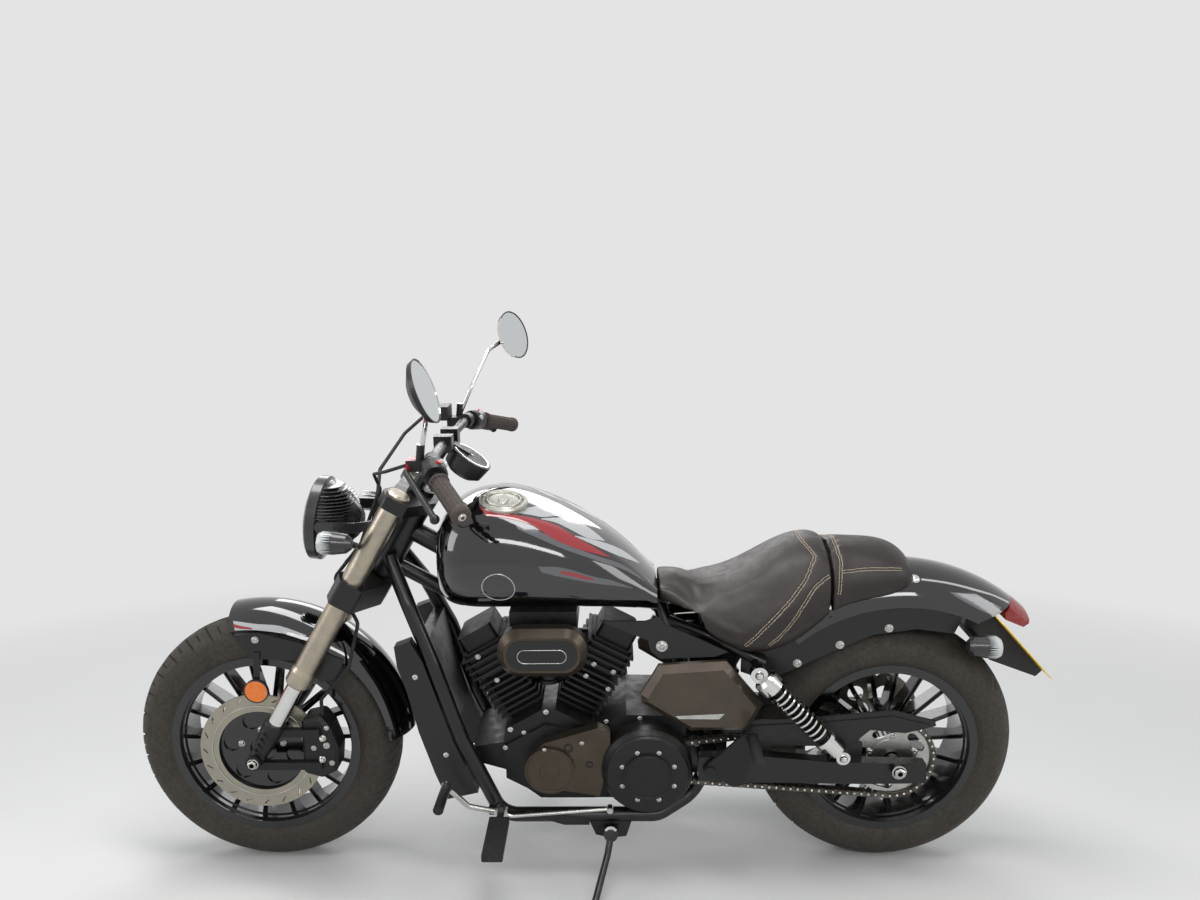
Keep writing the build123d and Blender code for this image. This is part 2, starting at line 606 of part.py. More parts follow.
# Frame
with BuildPart() as main_frame:
    # Steering head and backbone under the tank
    head_low = fork(LOWER_YOKE[1] + HEAD_GAP, -STEM_BACK)
    head_high = fork(UPPER_YOKE[0] - HEAD_GAP, -STEM_BACK)
    add(rod(head_low, head_high, HEAD_TUBE_R))
    add(tube([fork(610, -STEM_BACK), (200, 0, 712), (-60, 0, 684), (-205, 0, 628)], BACKBONE_R, 120.0))
    for x in (180, 20):
        add(rod((x, -TUNNEL_HALF, 704), (x, TUNNEL_HALF, 704), 9.0))
    add(tube([fork(520, -STEM_BACK), (250, 0, 640), (60, 0, 680)], 16.0, 60.0))
    add(both_sides(tube([(-196, 10, 626), (-226, 60, 556), (-300, 70, 340)], RAIL_R + 3, 40.0)))
    add(both_sides(slab([(-264, 360), (-264, 250), (-300, 236), (-345, 262), (-345, 330), (-320, 372)], 60, 80)))
    add(block((-320, -290), (-62, 62), (345, 368)))
    add(rod(head_low, head_high, HEAD_BORE_R), mode=Mode.SUBTRACT)
    add(rod((PIVOT_X, -100, PIVOT_Z), (PIVOT_X, 100, PIVOT_Z), 22.5), mode=Mode.SUBTRACT)

with BuildPart() as left_cradle:
    cradle = [fork(545, -STEM_BACK, 42), (352, 86, 660), (298, 112, 530), (243, 115, 354), (160, 115, 166),
              (-190, 115, 166), (-270, 70, 190), (-295, 70, 244)]
    add(tube(cradle, CRADLE_R, 55.0))
    add(main_frame.part, mode=Mode.SUBTRACT)
    # Stand bracket with its pivot bolt, and the peg plate, on the lower rail
    add(slab([(-36, 158), (-130, 158), (-118, 120), (-84, 116), (-50, 124)], 118, 130))
    hinge = Vector(*STAND_HINGE).normalized()
    pivot = Vector(*STAND_PIVOT)
    add(rod(tuple(pivot - hinge * 30), tuple(pivot + hinge * STAND_FACE), STAND_BOLT_R))
    add(rod(tuple(pivot + hinge * STAND_FACE), tuple(pivot + hinge * (STAND_FACE + 6)), 11.0))
    add(rod(tuple(pivot - hinge * 24), tuple(pivot - hinge * STAND_FACE), 13.0))
    add(slab([(188, 176), (100, 176), (20, 150), (-36, 150), (-36, 166), (188, 196)], 124, 132))

with BuildPart() as right_cradle:
    add(tube([(x, -y, z) for x, y, z in cradle], CRADLE_R, 55.0))
    add(main_frame.part, mode=Mode.SUBTRACT)
    add(slab([(188, 176), (100, 176), (20, 150), (-36, 150), (-36, 166), (188, 196)], -132, -124))

with BuildPart() as rear_fender:
    add(rear_arch(REAR_FENDER_END, 77.0, 0.0, SHEET_T))
    # Its sides end ahead of its crown
    add(slab(tail([(-18, 7), (99, -27), (99, -100), (-18, -100)]), -100, 100), mode=Mode.SUBTRACT)

with BuildPart() as rear_frame:
    # Seat rails, shock mounts and the strut plates that carry the rear fender
    add(both_sides(tube([(-209, 32, 598), (-300, 84, 582), (-420, 98, 524)], RAIL_R, 40.0)))
    # Strut outline around the rear axle: angle of each corner and its rise over the fender's edge
    strut = ((113, 10), (104, 10), (91, 10), (78, 10), (65, 10), (52, 10), (40, 34), (37, 68), (31, 40), (33, -22),
             (60, -68), (80, -60), (98, -49), (113, -38))
    side_r = REAR_FENDER_SIDE_R
    corners = [(REAR_X + (side_r + rise) * cosd(angle), REAR_Z + (side_r + rise) * sind(angle))
               for angle, rise in strut]
    add(both_sides(slab(corners, STRUT_IN, STRUT_IN + 6)))
    for angle in (66, 88, 110):
        x = REAR_X + (side_r + 4) * cosd(angle)
        z = REAR_Z + (side_r + 4) * sind(angle)
        add(both_sides(rod((x, STRUT_IN, z), (x, 91.6, z), 7.0)))
    add(both_sides(rod((-399, STRUT_IN, 529), (-399, 170, 529), 9.0)))
    # Seat post over the airbox
    add(block((-310, -290), (-40, 40), (550, 644.7)))
    add(block((-366, -262), (-52, 52), (402, 560)))
    for x, z in ((-290, 500), (-340, 430)):
        add(rod((x, -SIDE_COVER_IN, z), (x, SIDE_COVER_IN, z), 8.0))
    add(main_frame.part, mode=Mode.SUBTRACT)
    add(rear_fender.part, mode=Mode.SUBTRACT)

# Engine
def deck(tilt, half_long):
    """Two ends of a cylinder deck in side view, rear end first."""
    x = CRANK_X + DECK_R * sind(tilt)
    z = CRANK_Z + DECK_R * cosd(tilt)
    along = half_long * cosd(tilt)
    rise = half_long * sind(tilt)
    return [(x - along, z + rise), (x + along, z - rise)]


with BuildPart() as crankcase:
    outline = [(158, 290), (120, 232), (74, 196), (-212, 196), (-252, 236), (-252, 370), (-220, 398), (-120, 400)]
    outline += deck(REAR_TILT, 48.0) + deck(FRONT_TILT, 48.0)
    add(slab(outline, -97, 97))
    add(slab([(150, 330), (150, 250), (60, 200), (-50, 200), (-50, 360), (60, 380)], 97, 104))
    # Right covers over the clutch and the crank end
    add(turned([(0.1, -97), (92, -97), (92, -124), (80, -136), (0.1, -136)], -80, 290))
    add(turned([(0.1, -97), (62, -97), (62, -122), (50, -130), (0.1, -130)], 62, 287))
    add(slab(CHAIN_BAY, 88, 106), mode=Mode.SUBTRACT)
    # Drive wheel of the chain inside its bay
    seat_r = FRONT_PITCH_R - ROLLER_R
    add(turned([(0.1, 88), (16, 88), (16, CHAIN_Y - 2.5), (seat_r, CHAIN_Y - 2.5), (seat_r, CHAIN_Y + 2.5),
                (0.1, CHAIN_Y + 2.5)], DRIVE_X, DRIVE_Z))
    # Mounting lugs at the down tubes and at the swingarm plates
    add(slab([(140, 330), (224, 316), (222, 280), (140, 255)], -84, 84))
    add(both_sides(rod((216, 80, 298), (216, 110, 298), 9.0)))
    add(both_sides(slab([(-240, 350), (-272, 340), (-272, 280), (-240, 270)], 60, 80)))
    add(left_cradle.part, mode=Mode.SUBTRACT)
    add(right_cradle.part, mode=Mode.SUBTRACT)
    add(main_frame.part, mode=Mode.SUBTRACT)


def cylinder_block(tilt):
    """Finned barrel and head, drawn along its own axis from the crank centre."""
    frame_plane = Plane(origin=(CRANK_X, 0, CRANK_Z), x_dir=(cosd(tilt), 0, -sind(tilt)),
                        z_dir=(sind(tilt), 0, cosd(tilt)))
    rows = (
        # start, end, half length, half width of each block along the axis
        (DECK_R, 236.0, 38.0, 50.0),
        (232.0, 300.0, 49.0, 60.0),
        (300.0, 338.0, 42.0, 52.0),
    )
    fins = ((128.0, 52.0, 64.0), (143.0, 53.0, 66.0), (158.0, 54.0, 67.0), (173.0, 54.0, 67.0), (188.0, 54.0, 67.0),
            (203.0, 54.0, 67.0), (218.0, 54.0, 67.0), (240.0, 56.0, 70.0), (256.0, 56.0, 70.0), (272.0, 56.0, 70.0),
            (288.0, 56.0, 70.0))
    with BuildPart() as piece:
        for start, end, half_long, half_wide in rows:
            with BuildSketch(frame_plane.offset(start)):
                RectangleRounded(2 * half_long, 2 * half_wide, 8)
            extrude(amount=end - start)
        for start, half_long, half_wide in fins:
            with BuildSketch(frame_plane.offset(start)):
                Rectangle(2 * half_long, 2 * half_wide)
            extrude(amount=5)
    return piece.part


with BuildPart() as front_cylinder:
    add(cylinder_block(FRONT_TILT))

with BuildPart() as rear_cylinder:
    add(cylinder_block(REAR_TILT))

with BuildPart() as air_cleaner:
    # Oval cover on the left, its duct and the inlet box between the cylinders
    with BuildSketch(Plane(origin=(59, 112, 568), x_dir=(1, 0, 0), z_dir=(0, -1, 0))):
        RectangleRounded(176, 98, 44)
    extrude(amount=14)
    with BuildSketch(Plane(origin=(59, 150, 568), x_dir=(1, 0, 0), z_dir=(0, -1, 0))):
        RectangleRounded(192, 110, 50)
    extrude(amount=40)
    chamfer(faces().sort_by(Axis.Y)[-1].edges(), 15)
    add(block((36, 76), (-40, 112), (520, 596)))
    add(block((-14, 132), (-58, 96), (586, 644)))
    # Inlet stubs to both heads
    add(rod((-40, 0, 545), (148, 0, 542), 19.0))
    add(front_cylinder.part, mode=Mode.SUBTRACT)
    add(rear_cylinder.part, mode=Mode.SUBTRACT)

with BuildPart() as sprocket_cover:
    add(turned([(0.1, 97), (100, 97), (100, 138), (88, 156), (54, 160), (54, 166), (0.1, 166)], -165, 288))
    add(slab(CHAIN_BAY, 88, 112), mode=Mode.SUBTRACT)
    add(crankcase.part, mode=Mode.SUBTRACT)

with BuildPart() as left_engine_cover:
    add(rod((50, 104, 287), (50, 138, 287), 55.0))
    add(slab([(84, 330), (60, 352), (-56, 388), (-84, 376), (-84, 340), (-60, 222), (20, 236)], 104, 132))
    add(sprocket_cover.part, mode=Mode.SUBTRACT)

with BuildPart() as radiator:
    core = [(337, 575), (290, 350), (262, 356), (309, 581)]
    add(slab(core, -92, 92))
    shroud = [(379, 577), (375, 530), (357, 471), (336, 374), (306, 275), (282, 210), (212, 226), (262, 354),
              (319, 541), (345, 590)]
    add(both_sides(slab(shroud, 98.0, 124.0)))
    add(both_sides(block((296, 322), (90, 100), (480, 520))))
    add(left_cradle.part, mode=Mode.SUBTRACT)
    add(right_cradle.part, mode=Mode.SUBTRACT)

with BuildPart() as exhaust:
    front_pipe = [(189, -61, 513), (200, -152, 500), (206, -160, 300), (140, -168, 228), (-215, -196, 224)]
    add(tube(front_pipe, 17.0, 45.0))
    rear_pipe = [(-83, -61, 517), (-100, -150, 505), (-112, -160, 330), (-215, -190, 240)]
    add(tube(rear_pipe, 17.0, 45.0))
    add(front_cylinder.part, mode=Mode.SUBTRACT)
    add(rear_cylinder.part, mode=Mode.SUBTRACT)
    add(lathe([(0, 0), (0, 30), (60, 46), (470, 46), (500, 34), (500, 24), (480, 24), (480, 0)], (-200, -200, 222),
              (-700, -208, 240)))

# Body
TANK_ROWS = (
    # x, base half width, base z, side half width, side z, shoulder half width, shoulder z, top z
    (280.0, 62.0, 676.0, 108.0, 740.0, 84.0, 822.0, 836.0),
    (250.0, 84.0, 660.0, 148.0, 744.0, 112.0, 852.0, 868.0),
    (150.0, 96.0, 657.0, 168.0, 746.0, 126.0, 872.6, 891.5),
    (20.0, 98.0, 658.0, 160.0, 730.0, 116.0, 836.7, 852.7),
    (-100.0, 88.0, 652.0, 128.0, 702.0, 90.0, 768.8, 782.3),
    (-150.0, 80.0, 646.0, 108.0, 684.0, 76.0, 727.0, 739.0),
    (-188.0, 74.0, 642.0, 94.0, 668.0, 64.0, 688.3, 698.8),
)
with BuildPart() as fuel_tank:
    loft([hoop(*row) for row in TANK_ROWS])
    # Tunnel over the backbone
    tunnel = [(300, 640), (300, 800), (230, 762), (-60, 730), (-200, 676), (-200, 630)]
    add(slab(tunnel, -TUNNEL_HALF, TUNNEL_HALF), mode=Mode.SUBTRACT)

with BuildPart() as tank_cap:
    # Flush cap on the left of the crown: bevelled ring, and the lid inside it
    cap = [(-14, 0), (-14, 52), (4, 52), (6.5, 49), (6.5, 43), (4.5, 41.5), (4.5, 40), (6, 38), (7, 20), (7, 0)]
    add(lathe(cap, (138, 71, 884), (129, 87.5, 982)))
    add(fuel_tank.part, mode=Mode.SUBTRACT)

SEAT_ROWS = (
    (-190.0, 66.0, 660.0, 76.0, 676.0, 50.0, 688.0, 698.0),
    (-260.0, 104.0, 622.0, 116.0, 650.0, 84.0, 678.0, 696.0),
    (-340.0, 126.0, 575.0, 146.0, 640.0, 112.0, 678.0, 697.0),
    (REAR_X + 277.5, 128.0, 566.0, 150.0, 658.0, 108.0, 722.0, 746.0),
    (REAR_X + 207.5, 118.0, 596.0, 138.0, 692.0, 92.0, 762.0, 784.0),
    (REAR_X + 149.5, 104.0, 640.0, 120.0, 712.0, 86.0, 764.0, 784.0),
)
PILLION_ROWS = (
    (REAR_X + 149.0, 104.0, 640.0, 120.0, 712.0, 86.0, 764.0, 784.0),
    (REAR_X + 67.5, 98.0, 668.0, 108.0, 718.0, 82.0, 756.0, 774.0),
    (REAR_X - 12.5, 84.0, 686.0, 92.0, 718.0, 66.0, 744.0, 759.0),
    (REAR_X - 35.5, 66.0, 694.0, 72.0, 712.0, 50.0, 728.0, 738.0),
)
with BuildPart() as fender_room:
    add(rear_arch(175.0, 170.0, 0.4, REAR_FENDER_HALF - 1.0))
    add(turned([(200, -96), (354, -96), (354, 96), (200, 96)], REAR_FENDER_X, REAR_Z))
with BuildPart() as rider_seat:
    loft([hoop(*row) for row in SEAT_ROWS])
    add(fender_room.part, mode=Mode.SUBTRACT)
    floor = [(-150, 560), (-150, 666), (-190, 659), (-240, 652), (-440, 632), (-440, 560)]
    add(slab(floor, -121, 121), mode=Mode.SUBTRACT)

with BuildPart() as pillion_seat:
    loft([hoop(*row) for row in PILLION_ROWS])
    add(fender_room.part, mode=Mode.SUBTRACT)

with BuildPart() as side_covers:
    outline = [(-189, 539), (-151, 472), (-153, 453), (-256, 387), (-381, 386), (-414, 448), (-333, 548)]
    with BuildSketch(side_plane(SIDE_COVER_OUT)) as face:
        Polygon(*outline, align=None)
    extrude(amount=SIDE_COVER_OUT - SIDE_COVER_IN)
    chamfer(faces().sort_by(Axis.Y)[-1].edges(), 14)
    mirror(about=Plane.XZ)

with BuildPart() as seat_panels:
    outline = [(-65, 636), (-160, 635), (-188, 644), (-203, 628), (-338, 565), (-310, 554), (-192, 550), (-171, 569),
               (-167, 592)]
    add(both_sides(slab(outline, 123, 129)))
    add(both_sides(rod((-204, 56, 580), (-204, 124, 580), 8.0)))
    add(main_frame.part, mode=Mode.SUBTRACT)

# Rear suspension and final drive
with BuildPart() as swingarm:
    add(rod((PIVOT_X, -122, PIVOT_Z), (PIVOT_X, 122, PIVOT_Z), 22.0))
    front_end = placed_at(PIVOT_X, PIVOT_Z, [(-79, -32), (24, -28), (24, 28), (-77, 34)])
    rear_end = placed_at(REAR_X, REAR_Z, [(144.5, 17.6), (-61.5, 11.6), (-64.5, -34.4), (77.5, -35.4)])
    add(both_sides(slab(front_end + rear_end, 122, 148)))
    ear = placed_at(REAR_X, REAR_Z, [(149.5, 17.6), (135.5, 51.6), (111.5, 51.6), (95.5, 13.6)])
    add(both_sides(slab(ear, 130, 139)))
    shock_x = REAR_X + 123.5
    shock_z = REAR_Z + 37.6
    add(both_sides(rod((shock_x, 132, shock_z), (shock_x, 170, shock_z), 8.0)))
    add(rod((REAR_X, -160, REAR_Z), (REAR_X, 160, REAR_Z), FRONT_AXLE_R))
    add(both_sides(rod((REAR_X, 146, REAR_Z), (REAR_X, 160, REAR_Z), 15.0)))
    add(rod((REAR_X, 108, REAR_Z), (REAR_X, 124, REAR_Z), 14.0))
    add(rod((REAR_X, -124, REAR_Z), (REAR_X, -94, REAR_Z), 14.0))
    # Hollow rear axle
    add(rod((REAR_X, -164, REAR_Z), (REAR_X, 164, REAR_Z), FRONT_AXLE_BORE_R), mode=Mode.SUBTRACT)

with BuildPart() as shocks:
    low_eye = (shock_x, 158, shock_z)
    top_eye = (-399, 158, 529)
    length = math.dist(top_eye, low_eye)
    profile = [(14, 0), (14, 20), (20, 27), (46, 27), (50, 14)]
    coil = 58.0
    while coil < length - 76.0:
        profile += [(coil, 14), (coil + 2, 23), (coil + 6, 23), (coil + 8, 14)]
        coil += 14.0
    profile += [(length - 66, 14), (length - 64, 25), (length - 54, 25), (length - 52, 19), (length - 16, 17),
                (length - 12, 0)]
    for side in (1, -1):
        top = (top_eye[0], side * top_eye[1], top_eye[2])
        bottom = (low_eye[0], side * low_eye[1], low_eye[2])
        add(lathe(profile, top, bottom))
        add(rod((top[0], top[1] - 10, top[2]), (top[0], top[1] + 10, top[2]), 18.0))
        add(rod((bottom[0], bottom[1] - 9, bottom[2]), (bottom[0], bottom[1] + 9, bottom[2]), 15.0))
        add(rod((top[0], top[1] - 12, top[2]), (top[0], top[1] + 12, top[2]), 9.02), mode=Mode.SUBTRACT)
        add(rod((bottom[0], bottom[1] - 12, bottom[2]), (bottom[0], bottom[1] + 12, bottom[2]), 8.02),
            mode=Mode.SUBTRACT)

FALL = math.degrees(math.atan2(DRIVE_Z - REAR_Z, DRIVE_X - REAR_X))
OPEN_ANGLE = math.degrees(math.acos((REAR_PITCH_R - FRONT_PITCH_R) / DRIVE_SPAN))


def chain_point(wheel, radius, angle):
    """A point in side view at one angle from the line between the chain wheels."""
    x, z = (REAR_X, REAR_Z) if wheel == "rear" else (DRIVE_X, DRIVE_Z)
    return (x + radius * cosd(FALL + angle), z + radius * sind(FALL + angle))


def chain_loop(grow):
    """Side view of the chain loop, drawn outside its pitch line by one distance."""
    rear_up = chain_point("rear", REAR_PITCH_R + grow, OPEN_ANGLE)
    front_up = chain_point("front", FRONT_PITCH_R + grow, OPEN_ANGLE)
    front_down = chain_point("front", FRONT_PITCH_R + grow, -OPEN_ANGLE)
    rear_down = chain_point("rear", REAR_PITCH_R + grow, -OPEN_ANGLE)
    with BuildSketch() as face:
        with BuildLine():
            Line(rear_up, front_up)
            ThreePointArc(front_up, chain_point("front", FRONT_PITCH_R + grow, 0), front_down)
            Line(front_down, rear_down)
            ThreePointArc(rear_down, chain_point("rear", REAR_PITCH_R + grow, 180), rear_up)
        make_face()
    return face.sketch


def roller_place(run):
    """Where a roller lies after one distance along the loop from the rearmost tooth gap."""
    arc = math.radians(180.0 - OPEN_ANGLE - FALL) * REAR_PITCH_R
    straight = DRIVE_SPAN * sind(OPEN_ANGLE)
    nose = math.radians(2.0 * OPEN_ANGLE) * FRONT_PITCH_R
    if run <= arc:
        angle = 180.0 - math.degrees(run / REAR_PITCH_R)
        return (REAR_X + REAR_PITCH_R * cosd(angle), REAR_Z + REAR_PITCH_R * sind(angle))
    run -= arc
    if run <= straight:
        a = chain_point("rear", REAR_PITCH_R, OPEN_ANGLE)
        b = chain_point("front", FRONT_PITCH_R, OPEN_ANGLE)
    elif run <= straight + nose:
        return chain_point("front", FRONT_PITCH_R, OPEN_ANGLE - math.degrees((run - straight) / FRONT_PITCH_R))
    elif run <= 2.0 * straight + nose:
        run -= straight + nose
        a = chain_point("front", FRONT_PITCH_R, -OPEN_ANGLE)
        b = chain_point("rear", REAR_PITCH_R, -OPEN_ANGLE)
    else:
        run -= 2.0 * straight + nose
        return chain_point("rear", REAR_PITCH_R, -OPEN_ANGLE - math.degrees(run / REAR_PITCH_R))
    return (a[0] + (b[0] - a[0]) * run / straight, a[1] + (b[1] - a[1]) * run / straight)


with BuildPart() as chain:
    outer_loop = chain_loop(CHAIN_PLATE_H / 2.0)
    inner_loop = chain_loop(-CHAIN_PLATE_H / 2.0)
    for left in (CHAIN_Y + 7.5, CHAIN_Y - 4.0):
        with BuildSketch(side_plane(left)):
            add(outer_loop)
            add(inner_loop, mode=Mode.SUBTRACT)
        extrude(amount=3.5)
    with BuildSketch(side_plane(CHAIN_Y + 4.0)):
        for link in range(CHAIN_LINKS):
            with Locations(roller_place(link * LINK_STEP)):
                RegularPolygon(ROLLER_R - 0.1, 6)
    extrude(amount=8)

with BuildPart() as chain_guard:
    rear_edge = [(165.5, 108.6), (8.5, 123.6), (-84.5, 98.6), (-87.5, 86.6), (-21.5, 69.6), (55.5, 77.6),
                 (96.5, 39.6)]
    outline = [(-368, 396)] + placed_at(REAR_X, REAR_Z, rear_edge) + [(-381, 336)]
    add(slab(outline, 114, 119, 3))
    # Raised face below the ridge
    ridge = [(163, 97), (8, 111), (-76, 89), (-23, 76), (50, 84), (92, 46)]
    add(slab([(-372, 385)] + placed_at(REAR_X, REAR_Z, ridge) + [(-377, 342)], 119, 121.5))
    for x, low in ((-400, 316), (REAR_X + 107.5, 300)):
        add(slab([(x, 345), (x - 36, 345), (x - 36, low), (x, low)], 114, 122))

with BuildPart() as rear_caliper:
    body = placed_at(REAR_X, REAR_Z, [(67.5, 95.6), (103.5, 115.6), (135.5, 95.6), (135.5, 53.6), (87.5, 43.6)])
    add(slab(body, -112, -64, 8))
    add(turned([(40, REAR_DISC_Y - 8), (REAR_DISC_R + 7, REAR_DISC_Y - 8), (REAR_DISC_R + 7, REAR_DISC_Y + 8),
                (40, REAR_DISC_Y + 8)], REAR_X, REAR_Z), mode=Mode.SUBTRACT)
    carrier = placed_at(REAR_X, REAR_Z, [(67.5, 63.6), (147.5, 63.6), (147.5, 15.6), (67.5, 19.6)])
    add(slab(carrier, -122, -108))

# Rear end
with BuildPart() as tail_lamp:
    add(slab(tail([(3, 19), (-28, -9), (-30, -41), (-13, -54), (27, -37), (29, -21)]), -58, 58))
    add(rear_arch(175.0, 170.0, 0.0, REAR_FENDER_HALF - 1.0), mode=Mode.INTERSECT)
    add(rear_fender.part, mode=Mode.SUBTRACT)

PLATE_TILT = (-0.743, 0, 0.669)
plate_x, plate_z = tail([(-0.5, -87.7)])[0]
with BuildPart() as plate_hanger:
    # Bracket up to the fender's crown
    add(slab(tail([(108, 60), (84, 60), (84, -70), (108, -70)]), -12, 12))
    add(rear_arch(175.0, 170.0, -SHEET_T, REAR_FENDER_HALF - SHEET_T - 1.0), mode=Mode.INTERSECT)
    # Hanger whose rear face carries the plate
    behind = placed_at(plate_x, plate_z, [(0.669 * along, 0.743 * along) for along in (52, -96)])
    ahead = tail([(-51, -173), (54, -132.6), (99, -80.6), (113, -50.6), (113, -22.6), (74, -14.6)])
    add(slab(behind + ahead, -55, 55))
    stalk_x, stalk_z = tail([(101, -66.6)])[0]
    add(rod((stalk_x, -100, stalk_z), (stalk_x, 100, stalk_z), 9.0))

with BuildPart() as number_plate:
    with BuildSketch(Plane(origin=(plate_x, 0, plate_z), x_dir=(0, 1, 0), z_dir=PLATE_TILT)):
        RectangleRounded(229, 178, 8)
    extrude(amount=2)

with BuildPart() as rear_indicators:
    for side in (1, -1):
        y = side * 124
        add(lathe([(0, 0), (2, 20), (10, 24), (32, 24), (60, 20), (68, 12), (70, 0)],
                  (stalk_x - 37, y, stalk_z - 4), (stalk_x + 33, y, stalk_z)))

# Foot controls
with BuildPart() as foot_pegs:
    for side in (1, -1):
        add(rod((PEG_X, side * 132, PEG_Z), (PEG_X, side * 178, PEG_Z), PEG_ROD_R))
        ends = sorted((side * 172, side * 298))
        add(slab([(PEG_X + 22, PEG_Z - 9), (PEG_X + 22, PEG_Z + 9), (PEG_X - 22, PEG_Z + 9), (PEG_X - 22, PEG_Z - 9)],
                 ends[0], ends[1], 3))
        # Passenger peg and the plate that carries it from the swingarm pivot
        ends = sorted((side * 151, side * 158))
        add(slab([(-284, 298), (-296, 316), (-378, 392), (-404, 384), (-396, 350), (-372, 264), (-350, 262)],
                 ends[0], ends[1], 4))
        add(rod((PIVOT_X, side * 148, PIVOT_Z), (PIVOT_X, side * 162, PIVOT_Z), 12.0))
        add(rod((-390, side * 156, 376), (-390, side * 256, 376), 12.0))

with BuildPart() as gear_lever:
    lever_eye = [(PEG_ROD_R + RUN_CLEAR, 133), (15, 133), (15, 147), (PEG_ROD_R + RUN_CLEAR, 147)]
    add(turned(lever_eye, PEG_X, PEG_Z))
    add(tube([(PEG_X + 12, 140, PEG_Z), (230, 150, 210), (268, 160, 258), (271, 176, 276)], 6.0, 12.0))
    add(rod((271, 172, 276), (273, 262, 276), 11.0))
    add(rod((135, 140, 178), (-82, 140, 195), 4.0))
    add(tube([(PEG_X - 10, 140, PEG_Z - 4), (146, 140, 181), (135, 140, 178)], 4.5, 3.0))
    add(rod((-82, 132, 195), (-82, 148, 195), 7.0))
    add(foot_pegs.part, mode=Mode.SUBTRACT)

with BuildPart() as brake_pedal:
    add(turned([(r, -y) for r, y in lever_eye], PEG_X, PEG_Z))
    add(tube([(PEG_X + 12, -140, PEG_Z), (230, -150, 206), (280, -168, 246)], 7.0, 12.0))
    add(slab([(262, 240), (262, 252), (304, 262), (304, 250)], -205, -162))
    add(foot_pegs.part, mode=Mode.SUBTRACT)

# Side stand
lean_cos = cosd(LEAN)
lean_sin = sind(LEAN)
pivot_y = STAND_PIVOT[1] * lean_cos + STAND_PIVOT[2] * lean_sin
foot_world = (STAND_PIVOT[0] + STAND_REACH[0], pivot_y + STAND_REACH[1], 0.0)


def upright(point):
    """A point of the parked machine, turned back into the upright machine."""
    x, y, z = point
    return (x, y * lean_cos - z * lean_sin, y * lean_sin + z * lean_cos)


with BuildPart() as side_stand:
    foot_top = (foot_world[0], foot_world[1], STAND_FOOT_T)
    ankle = upright((foot_world[0], foot_world[1] - 2, STAND_FOOT_T + 5))
    knee = Vector(*STAND_PIVOT) + Vector(8, 24, -34)
    add(rod(upright(foot_world), upright(foot_top), STAND_FOOT_R))
    add(rod(tuple(pivot - hinge * (STAND_FACE - 0.6)), tuple(pivot + hinge * (STAND_FACE - 0.6)), STAND_EYE_R))
    leg_start = pivot + (knee - pivot).normalized() * (STAND_BOLT_R + 3)
    add(tube([tuple(leg_start), tuple(knee), ankle], STAND_LEG_R, 16.0))
    add(rod(tuple(pivot - hinge * 30), tuple(pivot + hinge * 30), STAND_BOLT_R + RUN_CLEAR), mode=Mode.SUBTRACT)

PIECES = {
    "front_tyre": front_tyre,
    "front_rim": front_rim,
    "front_disc": front_disc,
    "rear_tyre": rear_tyre,
    "rear_rim": rear_rim,
    "rear_sprocket": rear_sprocket,
    "rear_disc": rear_disc,
    "yokes": yokes,
    "fork_outer": fork_outer,
    "fork_inner": fork_inner,
    "fork_bottoms": fork_bottoms,
    "front_caliper": front_caliper,
    "front_fender": front_fender,
    "fender_brackets": fender_brackets,
    "reflectors": reflectors,
    "handlebar": handlebar,
    "grips": grips,
    "hand_controls": hand_controls,
    "mirrors": mirrors,
    "mirror_glass": mirror_glass,
    "gauge": gauge,
    "headlamp": headlamp,
    "headlamp_lens": headlamp_lens,
    "front_indicators": front_indicators,
    "hoses": hoses,
    "main_frame": main_frame,
    "left_cradle": left_cradle,
    "right_cradle": right_cradle,
    "rear_frame": rear_frame,
    "crankcase": crankcase,
    "front_cylinder": front_cylinder,
    "rear_cylinder": rear_cylinder,
    "air_cleaner": air_cleaner,
    "left_engine_cover": left_engine_cover,
    "sprocket_cover": sprocket_cover,
    "radiator": radiator,
    "exhaust": exhaust,
    "fuel_tank": fuel_tank,
    "tank_cap": tank_cap,
    "rider_seat": rider_seat,
    "pillion_seat": pillion_seat,
    "rear_fender": rear_fender,
    "side_covers": side_covers,
    "seat_panels": seat_panels,
    "swingarm": swingarm,
    "shocks": shocks,
    "chain": chain,
    "chain_guard": chain_guard,
    "rear_caliper": rear_caliper,
    "tail_lamp": tail_lamp,
    "plate_hanger": plate_hanger,
    "number_plate": number_plate,
    "rear_indicators": rear_indicators,
    "foot_pegs": foot_pegs,
    "gear_lever": gear_lever,
    "brake_pedal": brake_pedal,
    "side_stand": side_stand,
}
PARKED = Location((SHIFT_X, SHIFT_Y, 0.0)) * Location((0, 0, 0), (-LEAN, 0, 0))
for name, piece in PIECES.items():
    placed = piece.part.moved(PARKED)
    placed.label = name
    export_step(placed, f"parts/{name}.step")
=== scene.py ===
import json
import math

import bmesh
import bpy
from bpy.props import FloatProperty, IntProperty, PointerProperty
from mathutils import Matrix, Vector
from mathutils.bvhtree import BVHTree
from mathutils.kdtree import KDTree


